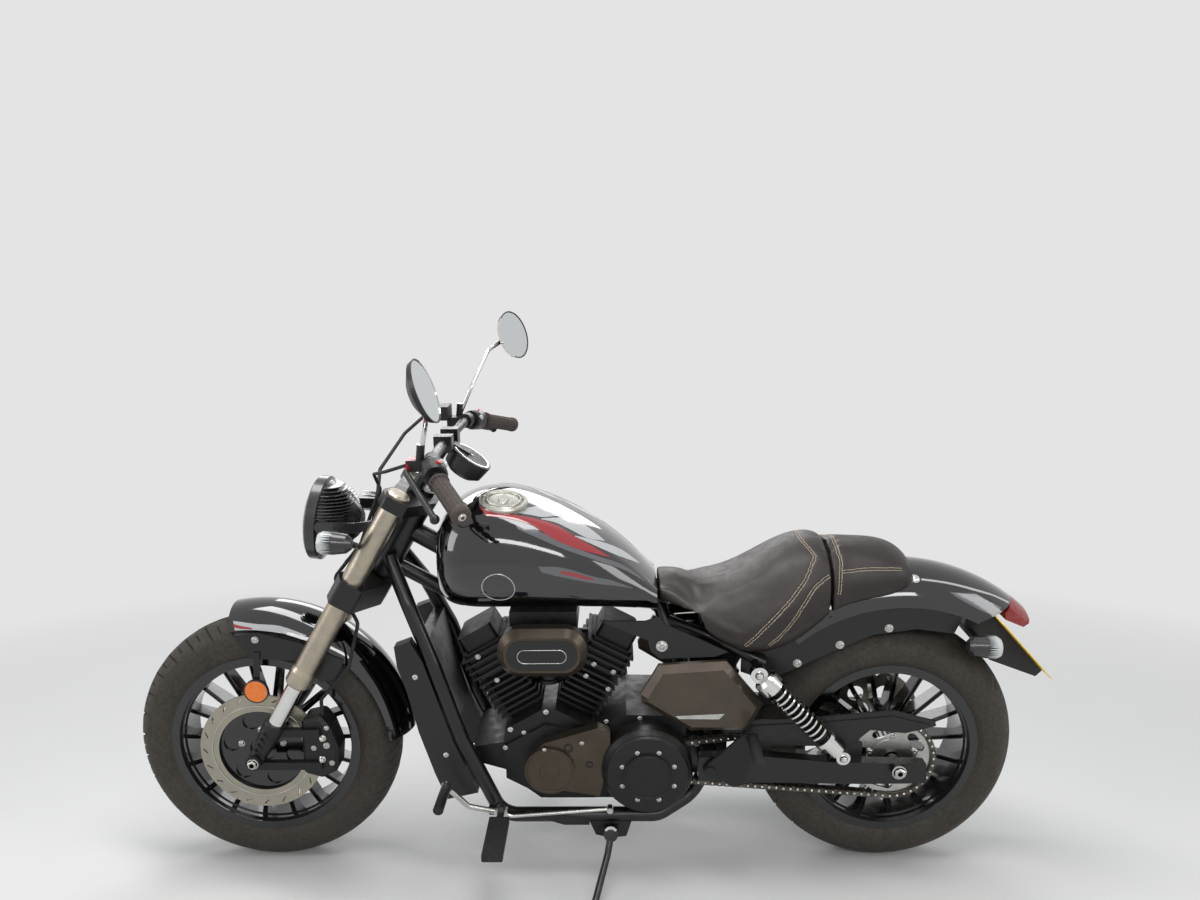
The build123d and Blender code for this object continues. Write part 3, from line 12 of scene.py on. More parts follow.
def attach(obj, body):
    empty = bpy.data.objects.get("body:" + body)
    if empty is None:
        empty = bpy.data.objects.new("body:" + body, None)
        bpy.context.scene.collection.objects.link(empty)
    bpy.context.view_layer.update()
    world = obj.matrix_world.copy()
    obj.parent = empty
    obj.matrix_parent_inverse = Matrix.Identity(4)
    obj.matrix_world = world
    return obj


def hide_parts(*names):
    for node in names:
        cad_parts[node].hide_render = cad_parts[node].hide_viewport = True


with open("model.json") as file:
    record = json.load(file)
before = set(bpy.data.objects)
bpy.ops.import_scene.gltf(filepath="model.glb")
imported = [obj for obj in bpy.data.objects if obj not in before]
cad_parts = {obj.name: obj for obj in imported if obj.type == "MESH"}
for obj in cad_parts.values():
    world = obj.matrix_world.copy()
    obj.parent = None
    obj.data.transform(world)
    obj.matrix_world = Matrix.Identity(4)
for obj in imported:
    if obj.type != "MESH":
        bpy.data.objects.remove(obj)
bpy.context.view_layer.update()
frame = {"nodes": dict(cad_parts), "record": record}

bl_info = {
    "name": "Two-cylinder cruiser",
    "version": (1, 0, 0),
    "blender": (4, 5, 0),
    "location": "View3D > Sidebar > Cruiser",
    "description": "Dresses the parked two-cylinder cruiser motorcycle: finishes, rubber, leather, trim "
                   "and stage",
    "category": "Object",
}

MM = 0.001

# Each tyre's outer radius, half width, crown radius, bead seat radius and half rim width, in millimetres
FRONT_TYRE = (302.0, 59.0, 66.0, 203.2, 46.0)
REAR_TYRE = (295.5, 75.0, 82.0, 190.5, 60.0)
WHEELBASE = 1415.0

# The upright machine, X forward, Y left, Z up in millimetres, leaned onto its stand and shifted in metres
LEAN = math.radians(8.6)
SHIFT_X = 0.0203
SHIFT_Y = -0.15272
PARKED = Matrix.Translation((SHIFT_X, SHIFT_Y, 0.0)) @ Matrix.Rotation(-LEAN, 4, "X")
UPRIGHT = PARKED.inverted()
# Leaned tyres stand on the side of their crown, which lifts each axle by this share of the crown's radius
LEAN_LIFT = 1.0 / math.cos(LEAN) - 1.0
FRONT_AXLE = Vector((WHEELBASE / 2.0, 0.0, FRONT_TYRE[0] + FRONT_TYRE[2] * LEAN_LIFT))
REAR_AXLE = Vector((-WHEELBASE / 2.0, 0.0, REAR_TYRE[0] + REAR_TYRE[2] * LEAN_LIFT))
RAKE = math.radians(30.3)
FORK_UP = Vector((-math.sin(RAKE), 0.0, math.cos(RAKE)))
FORK_AHEAD = Vector((math.cos(RAKE), 0.0, math.sin(RAKE)))

# Final drive: tooth counts, chain pitch, and the drive wheel's centre in X and Z
REAR_TEETH = 36
FRONT_TEETH = 15
PITCH = 15.875
REAR_PITCH_R = PITCH / (2.0 * math.sin(math.pi / REAR_TEETH))
FRONT_PITCH_R = PITCH / (2.0 * math.sin(math.pi / FRONT_TEETH))
DRIVE_X = -166.0
DRIVE_Z = 288.0


def fork(along, ahead=0.0, left=0.0):
    """A point measured up the fork from the front axle, ahead of the legs and to the left."""
    return FRONT_AXLE + FORK_UP * along + FORK_AHEAD * ahead + Vector((0.0, left, 0.0))


# Colour and shader nodes

def paint(code):
    """Linear colour from an sRGB hex value."""
    out = []
    for start in (1, 3, 5):
        level = int(code[start:start + 2], 16) / 255.0
        out.append(level / 12.92 if level <= 0.04045 else ((level + 0.055) / 1.055) ** 2.4)
    return (*out, 1.0)


def add_node(tree, kind, inputs=None, **settings):
    """One shader node with its settings, each input set to a value or linked from a socket."""
    new = tree.nodes.new(kind)
    for name, value in settings.items():
        setattr(new, name, value)
    for key, value in (inputs or {}).items():
        if isinstance(value, bpy.types.NodeSocket):
            tree.links.new(value, new.inputs[key])
        else:
            new.inputs[key].default_value = value
    return new


def blank(name):
    """An empty material with its shader and output, and the object's own coordinates."""
    material = bpy.data.materials.new(name)
    material.use_nodes = True
    tree = material.node_tree
    tree.nodes.clear()
    shader = add_node(tree, "ShaderNodeBsdfPrincipled")
    add_node(tree, "ShaderNodeOutputMaterial", {"Surface": shader.outputs["BSDF"]})
    place = add_node(tree, "ShaderNodeTexCoord").outputs["Object"]
    return material, tree, shader, place


def noise(tree, place, size_mm, detail=3.0, rough=0.55, distortion=0.0):
    """Noise whose spots are about one real size across."""
    inputs = {"Vector": place, "Scale": 1.0 / (size_mm * MM), "Detail": detail, "Roughness": rough,
              "Distortion": distortion}
    return add_node(tree, "ShaderNodeTexNoise", inputs).outputs["Fac"]


def spread(tree, value, low, high, from_low=0.35, from_high=0.65):
    """A value remapped to run between two others."""
    inputs = {"Value": value, "From Min": from_low, "From Max": from_high, "To Min": low, "To Max": high}
    return add_node(tree, "ShaderNodeMapRange", inputs).outputs["Result"]


def blend_colour(tree, factor, first, second):
    """Two colours mixed by a factor."""
    mix = add_node(tree, "ShaderNodeMix", {"Factor": factor}, data_type="RGBA")
    for key, value in ((6, first), (7, second)):
        if isinstance(value, bpy.types.NodeSocket):
            tree.links.new(value, mix.inputs[key])
        else:
            mix.inputs[key].default_value = value
    return mix.outputs[2]


def combine(tree, operation, first, second):
    """Two values joined by one operation."""
    return add_node(tree, "ShaderNodeMath", {0: first, 1: second}, operation=operation).outputs["Value"]


def raise_bump(tree, shader, height, depth_mm, strength=1.0):
    """Bump of one real depth on the shader."""
    inputs = {"Height": height, "Distance": depth_mm * MM, "Strength": strength}
    bump = add_node(tree, "ShaderNodeBump", inputs)
    tree.links.new(bump.outputs["Normal"], shader.inputs["Normal"])


def coated(name, code, rough, spread_of_rough, grain_mm, depth_mm, metallic=0.0, tint="", dust=0.0, coat=0.0):
    """A painted, moulded or cast surface: colour drift, grain, and dust that settles on upper faces."""
    material, tree, shader, place = blank(name)
    drift = noise(tree, place, 60.0, 4.0)
    colour = blend_colour(tree, spread(tree, drift, 0.0, 1.0), paint(code), paint(tint or code))
    grain = noise(tree, place, grain_mm, 2.0)
    if dust > 0.0:
        facing = add_node(tree, "ShaderNodeSeparateXYZ",
                          {"Vector": add_node(tree, "ShaderNodeNewGeometry").outputs["Normal"]}).outputs["Z"]
        laid = combine(tree, "MULTIPLY", spread(tree, facing, 0.0, dust, 0.2, 1.0),
                       spread(tree, noise(tree, place, 14.0, 5.0), 0.3, 1.0))
        colour = blend_colour(tree, laid, colour, paint("#8d8579"))
    tree.links.new(colour, shader.inputs["Base Color"])
    shader.inputs["Metallic"].default_value = metallic
    tree.links.new(spread(tree, noise(tree, place, 22.0, 4.0), rough, rough + spread_of_rough),
                   shader.inputs["Roughness"])
    if coat > 0.0:
        shader.inputs["Coat Weight"].default_value = coat
        shader.inputs["Coat Roughness"].default_value = 0.03
    raise_bump(tree, shader, grain, depth_mm)
    return material


def turned_metal(name, code, rough, scratch_mm, depth_mm, axis_scale, metallic=1.0, worn_share=0.4):
    """Bare metal with fine machining or polishing lines drawn out along one direction."""
    material, tree, shader, place = blank(name)
    stretched = add_node(tree, "ShaderNodeMapping", {"Vector": place, "Scale": axis_scale}).outputs["Vector"]
    lines = noise(tree, stretched, scratch_mm, 3.0, 0.6)
    worn = noise(tree, place, 30.0, 4.0)
    tree.links.new(blend_colour(tree, spread(tree, worn, 0.0, worn_share), paint(code), paint("#8a8a88")),
                   shader.inputs["Base Color"])
    shader.inputs["Metallic"].default_value = metallic
    tree.links.new(spread(tree, lines, rough * 0.8, rough * 1.25), shader.inputs["Roughness"])
    raise_bump(tree, shader, lines, depth_mm, 0.5)
    return material


# Wave scale that draws a lens's flutes about 8 mm apart
FLUTE_SCALE = 40.0


def lens(name, code, rough, transmission):
    """Moulded polycarbonate or glass with flutes."""
    material, tree, shader, place = blank(name)
    flutes = add_node(tree, "ShaderNodeTexWave", {"Vector": place, "Scale": FLUTE_SCALE, "Distortion": 0.0},
                      wave_type="BANDS", bands_direction="Y").outputs["Fac"]
    dirt = noise(tree, place, 12.0, 3.0)
    tree.links.new(blend_colour(tree, spread(tree, dirt, 0.0, 0.06), paint(code), paint("#ffffff")),
                   shader.inputs["Base Color"])
    shader.inputs["Roughness"].default_value = rough
    shader.inputs["Transmission Weight"].default_value = transmission
    shader.inputs["IOR"].default_value = 1.49
    raise_bump(tree, shader, flutes, 0.15, 0.4)
    return material


def leather(name, code, worn_code):
    """Grained automotive leathercloth: pebbles about 1.6 mm across, satin, paler where it is rubbed, with
    painted shade in the crevices between the pebbles.
    """
    material, tree, shader, place = blank(name)
    pebbles = add_node(tree, "ShaderNodeTexVoronoi", {"Vector": place, "Scale": 1.0 / (1.6 * MM)},
                       feature="DISTANCE_TO_EDGE").outputs["Distance"]
    # Nearness to the crevices between the pebbles, for the painted shade in them and for the bump
    crevice_shade_and_height = spread(tree, pebbles, 0.0, 1.0, 0.0, 0.12)
    folds = noise(tree, place, 26.0, 5.0, 0.6, 0.6)
    worn = noise(tree, place, 90.0, 4.0)
    colour = blend_colour(tree, spread(tree, worn, 0.0, 0.6), paint(code), paint(worn_code))
    # Painted shade: the crevices between the pebbles are darkened toward near black
    tree.links.new(blend_colour(tree, spread(tree, crevice_shade_and_height, 0.35, 0.0, 0.0, 1.0), colour, paint("#0f0a08")),
                   shader.inputs["Base Color"])
    tree.links.new(spread(tree, folds, 0.36, 0.52), shader.inputs["Roughness"])
    height = combine(tree, "ADD", combine(tree, "MULTIPLY", crevice_shade_and_height, 0.25),
                     combine(tree, "MULTIPLY", folds, 2.0))
    raise_bump(tree, shader, height, 0.35, 0.7)
    return material


def rubber(name, code, dust_code, dust, grain_mm=1.2):
    """Vulcanised rubber: nearly matt, greyed by road dust."""
    material, tree, shader, place = blank(name)
    film = combine(tree, "MULTIPLY", spread(tree, noise(tree, place, 70.0, 5.0, 0.6), 0.65, 1.0), dust)
    tree.links.new(blend_colour(tree, film, paint(code), paint(dust_code)), shader.inputs["Base Color"])
    tree.links.new(spread(tree, noise(tree, place, 9.0, 3.0), 0.62, 0.85), shader.inputs["Roughness"])
    raise_bump(tree, shader, noise(tree, place, grain_mm, 3.0), 0.12)
    return material


FINISHES = {}


def make_finishes():
    """All the materials of the machine, each named for what the real one is."""
    make = FINISHES.__setitem__
    # Two-pack black enamel under clear lacquer: deep, mirror-like, with the faintest orange peel
    make("enamel", coated("Black lacquered enamel", "#060607", 0.06, 0.05, 6.0, 0.012, coat=1.0))
    # Powder coat on steel tube: black, satin, slightly pebbled
    make("powder", coated("Black powder coat", "#070708", 0.28, 0.12, 1.6, 0.02, dust=0.04))
    # Satin black heat-proof coating on cast aluminium: sand-cast grain shows through
    make("cast", coated("Black coated cast aluminium", "#0b0b0c", 0.36, 0.16, 1.1, 0.05, metallic=0.2,
                        dust=0.07))
    # Gloss black coat on the cast wheels: near-black with soft, slightly wavy reflections
    make("wheel", coated("Black coated cast wheel", "#050506", 0.13, 0.1, 2.0, 0.012, dust=0.05, coat=0.5))
    # Bronze-grey metallic lacquer on the engine covers: warm grey, satin, fine flake
    make("bronze", coated("Bronze grey metallic lacquer", "#4f463c", 0.3, 0.08, 0.9, 0.02, metallic=0.75,
                          tint="#463e35", dust=0.05))
    # Champagne anodised aluminium of the fork's upper legs: pale, warm, satin along its length
    make("anodised", turned_metal("Champagne anodised aluminium", "#b5aa98", 0.33, 0.8, 0.01,
                                  (1.0, 1.0, 0.06)))
    # Bright decorative chrome: a near mirror with faint polishing
    make("chrome", turned_metal("Decorative chrome", "#dcdcda", 0.07, 2.0, 0.0004, (1.0, 1.0, 1.0),
                                worn_share=0.1))
    # Ground stainless steel of the chain wheel and disc ring: pale grey, satin, drawn in fine lines
    make("steel", turned_metal("Ground stainless steel", "#bdbcb8", 0.3, 0.7, 0.015, (1.0, 0.1, 1.0)))
    # Brake disc rubbed by its pads: warm pale grey, satin, finely scratched
    make("disc", turned_metal("Worn disc steel", "#a39c8c", 0.34, 0.6, 0.02, (1.0, 1.0, 1.0), 0.85))
    # Satin plated filler cap: pale and soft, without sharp reflections
    make("cap", turned_metal("Satin plated zinc casting", "#b9b7ae", 0.3, 1.6, 0.001, (1.0, 1.0, 1.0),
                             worn_share=0.2))
    # Printed instrument face: dark and satin, so that its pale ticks stay readable
    make("dial", coated("Printed instrument face", "#0c0d0f", 0.5, 0.04, 2.0, 0.002))
    # Zinc plate on bolts and levers: pale, slightly dulled metal
    make("zinc", turned_metal("Zinc plated steel", "#c8c8c4", 0.26, 1.2, 0.01, (1.0, 1.0, 1.0)))
    # Oiled roller chain: dark warm steel that shines only in spots
    make("chain", turned_metal("Oiled chain steel", "#4a433a", 0.4, 1.0, 0.03, (1.0, 1.0, 1.0), 0.9))
    # Tyre rubber with road dust: nearly matt, brown where the dust lies
    make("tyre", rubber("Road dusted tyre rubber", "#1b1815", "#4b443a", 0.42))
    # Worn grip rubber: matt brown grey with paler patches
    make("grip", rubber("Worn grip rubber", "#2b2422", "#5b504a", 0.5))
    # Hose rubber: plain dull black
    make("hose", rubber("Black hose rubber", "#0c0c0c", "#2c2b2a", 0.3))
    # Seat leathercloth: very dark brown, satin, with a pebbled grain
    make("leather", leather("Dark brown leathercloth", "#1b1411", "#2a201b"))
    # Bonded polyester thread: matt cream that stands out from the cover
    make("thread", rubber("Cream stitching thread", "#c9b9a0", "#a89a84", 0.4, 0.5))
    # Unpainted black ABS, moulded with a fine spark-eroded grain: dull black
    make("abs", coated("Moulded black ABS", "#0c0c0d", 0.38, 0.14, 0.9, 0.025, dust=0.05))
    # Dark grey lacquered ABS of the lamp and the radiator's shroud: half gloss
    make("grey_abs", coated("Dark grey lacquered ABS", "#232325", 0.24, 0.1, 1.4, 0.015, dust=0.06, coat=0.4))
    # Bronze lacquered ABS of the side covers: the engine covers' colour, a little glossier
    make("side", coated("Bronze lacquered ABS", "#4e453b", 0.28, 0.08, 0.8, 0.012, metallic=0.6,
                        tint="#453d35", dust=0.06, coat=0.2))
    # Red anodised aluminium of the clutch perch: clear red over bright metal
    make("red_anodised", coated("Red anodised aluminium", "#a3323a", 0.3, 0.1, 1.0, 0.01, metallic=0.8))
    # Vinyl films of the tank's and fenders' stripes: flat colour with a clear gloss; on the tank the grey film
    # also stands in part for a painted reflection of the ceiling light
    for name, colour, code in (("red_film", "Red", "#8f1a22"), ("white_film", "White", "#a8a9ab"),
                               ("grey_film", "Grey", "#55565a")):
        make(name, coated(colour + " vinyl film", code, 0.12, 0.06, 4.0, 0.004, coat=0.9))
    # Red moulded ABS of the switches: bright, slightly dulled
    make("button", coated("Red moulded ABS", "#b0161c", 0.3, 0.1, 1.0, 0.01))
    # Polycarbonate lenses: clean, glossy colour with flutes in it
    make("amber", lens("Amber polycarbonate", "#f27c06", 0.14, 0.1))
    make("red_lens", lens("Red polycarbonate", "#8c0810", 0.1, 0.15))
    make("smoke_lens", lens("Smoked clear polycarbonate", "#d4d7d8", 0.16, 0.2))
    # Headlamp glass: clear, with the sharpest reflections of all
    make("glass", lens("Clear lamp glass", "#eef2f3", 0.04, 0.95))
    # Silvered mirror glass: shows the room without blur
    make("mirror", turned_metal("Silvered mirror glass", "#d4d8da", 0.02, 8.0, 0.0001, (1.0, 1.0, 1.0),
                                worn_share=0.0))
    # Retroreflective plate film: strong even yellow, satin
    make("plate", coated("Yellow reflective film", "#f2c313", 0.3, 0.1, 0.6, 0.01))


# Shapes

class Shape:
    """Points in millimetres and faces, gathered before a mesh is made of them."""

    def __init__(self):
        self.points = []
        self.faces = []
        self.finish = []

    def add(self, points, faces, finish=0):
        """Joins more points and faces, all of one finish."""
        start = len(self.points)
        self.points.extend(Vector(point) for point in points)
        self.faces.extend(tuple(start + corner for corner in face) for face in faces)
        self.finish.extend([finish] * len(faces))


def square_axes(along):
    """Two directions square to one direction and to each other."""
    along = Vector(along).normalized()
    helper = Vector((0.0, 1.0, 0.0)) if abs(along.y) < 0.9 else Vector((1.0, 0.0, 0.0))
    across = along.cross(helper).normalized()
    return along, across, along.cross(across)


def turned(shape, profile, start, toward, steps=40, finish=0):
    """Turned piece: the profile gives distance along the line and radius."""
    along, across, third = square_axes(Vector(toward) - Vector(start))
    points = []
    faces = []
    for index in range(steps):
        angle = 2.0 * math.pi * index / steps
        out = across * math.cos(angle) + third * math.sin(angle)
        points.extend(Vector(start) + along * distance + out * radius for distance, radius in profile)
    count = len(profile)
    for index in range(steps):
        first = index * count
        second = (index + 1) % steps * count
        for step in range(count - 1):
            faces.append((first + step, first + step + 1, second + step + 1, second + step))
    shape.add(points, faces, finish)


def smooth_path(points, divisions):
    """A smooth line through a few points."""
    points = [Vector(point) for point in points]
    last = len(points) - 1
    out = []
    for index in range(last):
        before, here, onward, after = (points[min(max(index + shift, 0), last)] for shift in (-1, 0, 1, 2))
        square = 2.0 * before - 5.0 * here + 4.0 * onward - after
        cube = 3.0 * here - before - 3.0 * onward + after
        for step in range(divisions):
            t = step / divisions
            out.append(0.5 * (2.0 * here + (onward - before) * t + square * t * t + cube * t ** 3))
    out.append(points[-1])
    return out


def swept(shape, path, radius, sides=10, closed=False, finish=0):
    """Round bar along a line of points, of one radius or one for each point."""
    count = len(path)
    radii = radius if isinstance(radius, (list, tuple)) else [radius] * count
    points = []
    faces = []
    across = None
    for index, here in enumerate(path):
        if closed:
            direction = path[(index + 1) % count] - path[index - 1]
        else:
            direction = path[min(index + 1, count - 1)] - path[max(index - 1, 0)]
        direction = direction.normalized()
        if across is None:
            across = square_axes(direction)[1]
        across = (across - direction * across.dot(direction)).normalized()
        third = direction.cross(across)
        for side in range(sides):
            angle = 2.0 * math.pi * side / sides
            points.append(here + (across * math.cos(angle) + third * math.sin(angle)) * radii[index])
    for index in range(count if closed else count - 1):
        first = index * sides
        second = (index + 1) % count * sides
        for side in range(sides):
            onward = (side + 1) % sides
            faces.append((first + side, first + onward, second + onward, second + side))
    if not closed:
        faces.append(tuple(reversed(range(sides))))
        faces.append(tuple((count - 1) * sides + side for side in range(sides)))
    shape.add(points, faces, finish)


def plate_faces(count):
    """Both ends of a plate and the walls between its two rings of points."""
    faces = [tuple(range(count)), tuple(reversed(range(count, 2 * count)))]
    for index in range(count):
        onward = (index + 1) % count
        faces.append((onward, index, count + index, count + onward))
    return faces


def prism(shape, outline, low, high):
    """Plate with an outline drawn in X and Z, between two distances to the left."""
    points = [(x, low, z) for x, z in outline] + [(x, high, z) for x, z in outline]
    shape.add(points, plate_faces(len(outline)))


def piece(name, shape, finishes, body, replaced=(), at=(0.0, 0.0, 0.0), bevel=0.0, smooth=35.0):
    """Makes the object of a shape, in the upright machine leaned with the rest, and rides it on its body."""
    mesh = bpy.data.meshes.new(name)
    origin = Vector(at)
    mesh.from_pydata([(point - origin) * MM for point in shape.points], [], shape.faces)
    for finish in finishes:
        mesh.materials.append(FINISHES[finish])
    mesh.polygons.foreach_set("material_index", shape.finish)
    work = bmesh.new()
    work.from_mesh(mesh)
    bmesh.ops.remove_doubles(work, verts=work.verts, dist=0.00001)
    bmesh.ops.recalc_face_normals(work, faces=work.faces)
    work.to_mesh(mesh)
    work.free()
    mesh.shade_smooth()
    mesh.set_sharp_from_angle(angle=math.radians(smooth))
    made = bpy.data.objects.new(name, mesh)
    bpy.context.scene.collection.objects.link(made)
    made.matrix_world = PARKED @ Matrix.Translation(origin * MM)
    if bevel > 0.0:
        edge = made.modifiers.new("Broken edges", "BEVEL")
        edge.width = bevel * MM
        edge.segments = 2
        edge.limit_method = "ANGLE"
        edge.angle_limit = math.radians(40.0)
        edge.harden_normals = True
    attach(made, body)
    if replaced:
        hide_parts(*replaced)
    return made


SURFACES = {}


def surface(node):
    """Search tree of a CAD node's faces in the upright machine, in millimetres."""
    if node not in SURFACES:
        shown = frame["nodes"][node]
        turn = UPRIGHT @ shown.matrix_world
        points = [(turn @ vertex.co) / MM for vertex in shown.data.vertices]
        SURFACES[node] = BVHTree.FromPolygons(points, [tuple(face.vertices) for face in shown.data.polygons])
    return SURFACES[node]


def cast(node, start, direction):
    """Where a line from one point first meets a node, and its normal there."""
    place, normal, _, _ = surface(node).ray_cast(Vector(start), Vector(direction).normalized())
    if place is None:
        raise RuntimeError(f"no {node} on the line from {tuple(start)}")
    return place, normal


def body_of(node):
    """The body that a CAD node rides on."""
    for name, nodes in frame["record"]["behaviour"]["bodies"].items():
        if node in nodes:
            return name
    raise RuntimeError(f"no body holds {node}")


# Finishes of the CAD nodes that stay

NODE_FINISH = {
    "powder": "main_frame left_cradle right_cradle rear_frame swingarm yokes handlebar side_stand "
              "fender_brackets",
    "enamel": "fuel_tank front_fender rear_fender",
    "cast": "foot_pegs crankcase front_cylinder rear_cylinder fork_bottoms front_caliper rear_caliper "
            "sprocket_cover exhaust",
    "grey_abs": "radiator headlamp",
    "wheel": "front_rim rear_rim",
    "bronze": "left_engine_cover air_cleaner",
    "anodised": "fork_outer",
    "chrome": "fork_inner shocks mirrors",
    "cap": "tank_cap",
    "disc": "front_disc rear_disc",
    "steel": "rear_sprocket",
    "zinc": "gear_lever brake_pedal",
    "chain": "chain",
    "tyre": "front_tyre rear_tyre",
    "grip": "grips",
    "hose": "hoses",
    "leather": "rider_seat pillion_seat",
    "abs": "hand_controls gauge chain_guard seat_panels plate_hanger",
    "side": "side_covers",
    "amber": "reflectors",
    "red_lens": "tail_lamp",
    "smoke_lens": "front_indicators rear_indicators",
    "glass": "headlamp_lens",
    "mirror": "mirror_glass",
    "plate": "number_plate",
}


class CRUISER_OT_node_finishes(bpy.types.Operator):
    """Gives every CAD node its material"""
    bl_idname = "cruiser.node_finishes"
    bl_label = "Node finishes"

    def execute(self, context):
        for finish, names in NODE_FINISH.items():
            for name in names.split():
                shown = frame["nodes"][name]
                for index in range(max(1, len(shown.material_slots))):
                    if index < len(shown.material_slots):
                        shown.material_slots[index].material = FINISHES[finish]
                    else:
                        shown.data.materials.append(FINISHES[finish])
        return {"FINISHED"}


# Nodes that carry two finishes

def zoned(node, finishes, choose):
    """Gives each face of a CAD node one of its finishes, by the face's middle in the upright machine."""
    shown = frame["nodes"][node]
    shown.data.materials.clear()
    for finish in finishes:
        shown.data.materials.append(FINISHES[finish])
    turn = UPRIGHT @ shown.matrix_world
    for face in shown.data.polygons:
        face.material_index = choose(turn @ face.center / MM)


def off_line(point, start, end):
    """Share of the way from start to end, and distance from that line."""
    start = Vector(start)
    along = Vector(end) - start
    share = (point - start).dot(along) / along.length_squared
    return share, (point - start - along * share).length


def shock_zone(place):
    """Chrome spring, collars and eyes; black damper body inside the spring."""
    share, out = off_line(Vector((place.x, abs(place.y), place.z)), (-584, 158, 334), (-399, 158, 529))
    return 1 if 0.16 < share < 0.84 and out < 17.5 else 0


ZONES = (
    ("air_cleaner", ("bronze", "cast"), lambda place: 0 if place.y > 112 else 1),
    ("shocks", ("chrome", "cast"), shock_zone),
    ("front_indicators", ("grey_abs", "smoke_lens"), lambda place: 1 if place.x > 493 else 0),
    ("rear_indicators", ("grey_abs", "smoke_lens"), lambda place: 1 if place.x < -894 else 0),
    ("hand_controls", ("abs", "red_anodised"),
     lambda place: 1 if place.x > 290 and 180 < place.y < 250 else 0),
    ("mirrors", ("chrome", "abs"),
     lambda place: 1 if place.z > 1100 and abs(place.y) > 320 or place.z < 1045 else 0),
    ("foot_pegs", ("cast", "hose"), lambda place: 1 if abs(place.y) > 205 else 0),
    ("gear_lever", ("zinc", "cast"), lambda place: 1 if place.y > 215 else 0),
    ("side_stand", ("powder", "zinc"), lambda place: 1 if place.z > 150 else 0),
    ("front_disc", ("disc", "powder"),
     lambda place: 0 if math.hypot(place.x - FRONT_AXLE.x, place.z - FRONT_AXLE.z) > 100 else 1),
    ("radiator", ("abs", "powder"), lambda place: 0 if abs(place.y) > 100 else 1),
)


class CRUISER_OT_zones(bpy.types.Operator):
    """Second finishes of the nodes that have two"""
    bl_idname = "cruiser.zones"
    bl_label = "Two-finish nodes"

    def execute(self, context):
        for node, finishes, choose in ZONES:
            zoned(node, finishes, choose)
        return {"FINISHED"}


# Tyres

def arc_through(first, second, third, steps):
    """Points along the circular arc through three points, without its last one."""
    ax, ay = first
    bx, by = second
    cx, cy = third
    area = 2.0 * (ax * (by - cy) + bx * (cy - ay) + cx * (ay - by))
    a2, b2, c2 = ax * ax + ay * ay, bx * bx + by * by, cx * cx + cy * cy
    ux = (a2 * (by - cy) + b2 * (cy - ay) + c2 * (ay - by)) / area
    uy = (a2 * (cx - bx) + b2 * (ax - cx) + c2 * (bx - ax)) / area
    radius = math.hypot(ax - ux, ay - uy)
    start = math.atan2(ay - uy, ax - ux)
    middle = (math.atan2(by - uy, bx - ux) - start + math.pi) % (2 * math.pi) - math.pi
    end = (math.atan2(cy - uy, cx - ux) - start + math.pi) % (2 * math.pi) - math.pi
    if middle * end < 0.0:
        end += math.copysign(2 * math.pi, middle)
    turns = [start + end * step / steps for step in range(steps)]
    return [(ux + radius * math.cos(turn), uy + radius * math.sin(turn)) for turn in turns]


def treaded(shape, centre, size, pattern):
    """Tyre with moulded grooves; its columns of faces follow the grooves, so their edges stay sharp."""
    radius, half, crown, seat, rim_half = size
    pitches, sweep, groove_w, depth, long_reach, short_from, short_to, centre_groove, zigzag = pattern
    shoulder = half * 0.92
    shoulder_r = radius - crown + math.sqrt(crown * crown - shoulder * shoulder)
    bulge_r = (shoulder_r + seat) / 2.0 + 6.0
    lip_r = seat + 14.2
    lip = rim_half + 5.0
    side = arc_through((lip_r, lip), (bulge_r, half), (shoulder_r, shoulder), 11)
    flank = [(seat, rim_half), (lip_r, rim_half)]
    for index, (r, y) in enumerate(side):
        # Moulded rings near the bead and under the shoulder
        ring = {2: 0.9, 3: 0.9, 8: -0.5}.get(index, 0.0)
        flank.append((r, y + ring))
    crown_rows = [shoulder * t for t in (1.0, 0.93, 0.86, 0.78, 0.7, 0.62, 0.54, 0.46, 0.38, 0.3, 0.22, 0.15)]
    inner = centre_groove / 2.0
    crown_rows += [inner + 1.2, inner]
    rows = [(r, y, False) for r, y in flank] + [(None, y, True) for y in crown_rows]
    rows += [(None, 0.0, True)] + [(None, -y, True) for y in reversed(crown_rows)]
    rows += [(r, -y, False) for r, y in reversed(flank)]
    share = groove_w / (2.0 * math.pi * radius / pitches)
    columns = (0.0, share * 0.22, share * 0.78, share, 0.2, 0.34, 0.5, 0.5 + share * 0.2, 0.5 + share * 0.6,
               0.5 + share * 0.8, 0.7, 0.85)
    long_cut = (0, 1, 1, 0, 0, 0, 0, 0, 0, 0, 0, 0)
    short_cut = (0, 0, 0, 0, 0, 0, 0, 1, 1, 0, 0, 0)
    points = []
    for turn in range(pitches):
        for column, fraction in enumerate(columns):
            swing = abs(((turn + fraction) % 1.0) * 2.0 - 1.0) * 2.0 - 1.0
            for r, y, on_crown in rows:
                level = min(abs(y), shoulder) / shoulder
                cut = 0.0
                if on_crown:
                    if long_cut[column] and long_reach[0] < level < long_reach[1]:
                        cut = depth
                    if short_cut[column] and short_from < level < short_to:
                        cut = depth * 0.8
                    if abs(y) <= inner + 0.01 and centre_groove > 0.0:
                        cut = depth
                    r_here = radius - crown + math.sqrt(crown * crown - y * y) - cut
                    y_here = y + swing * zigzag * max(0.0, 1.0 - level / 0.3)
                else:
                    r_here, y_here = r, y
                lag = sweep * level ** 1.4 + (0.5 if y < 0.0 else 0.0) * min(1.0, level / 0.2)
                angle = 2.0 * math.pi * (turn + fraction + lag) / pitches
                points.append((centre.x + r_here * math.cos(angle), y_here,
                               centre.z + r_here * math.sin(angle)))
    count = len(rows)
    total = pitches * len(columns)
    faces = []
    for column in range(total):
        first = column * count
        second = (column + 1) % total * count
        for step in range(count - 1):
            faces.append((first + step, second + step, second + step + 1, first + step + 1))
        faces.append((first, first + count - 1, second + count - 1, second))
    shape.add(points, faces)


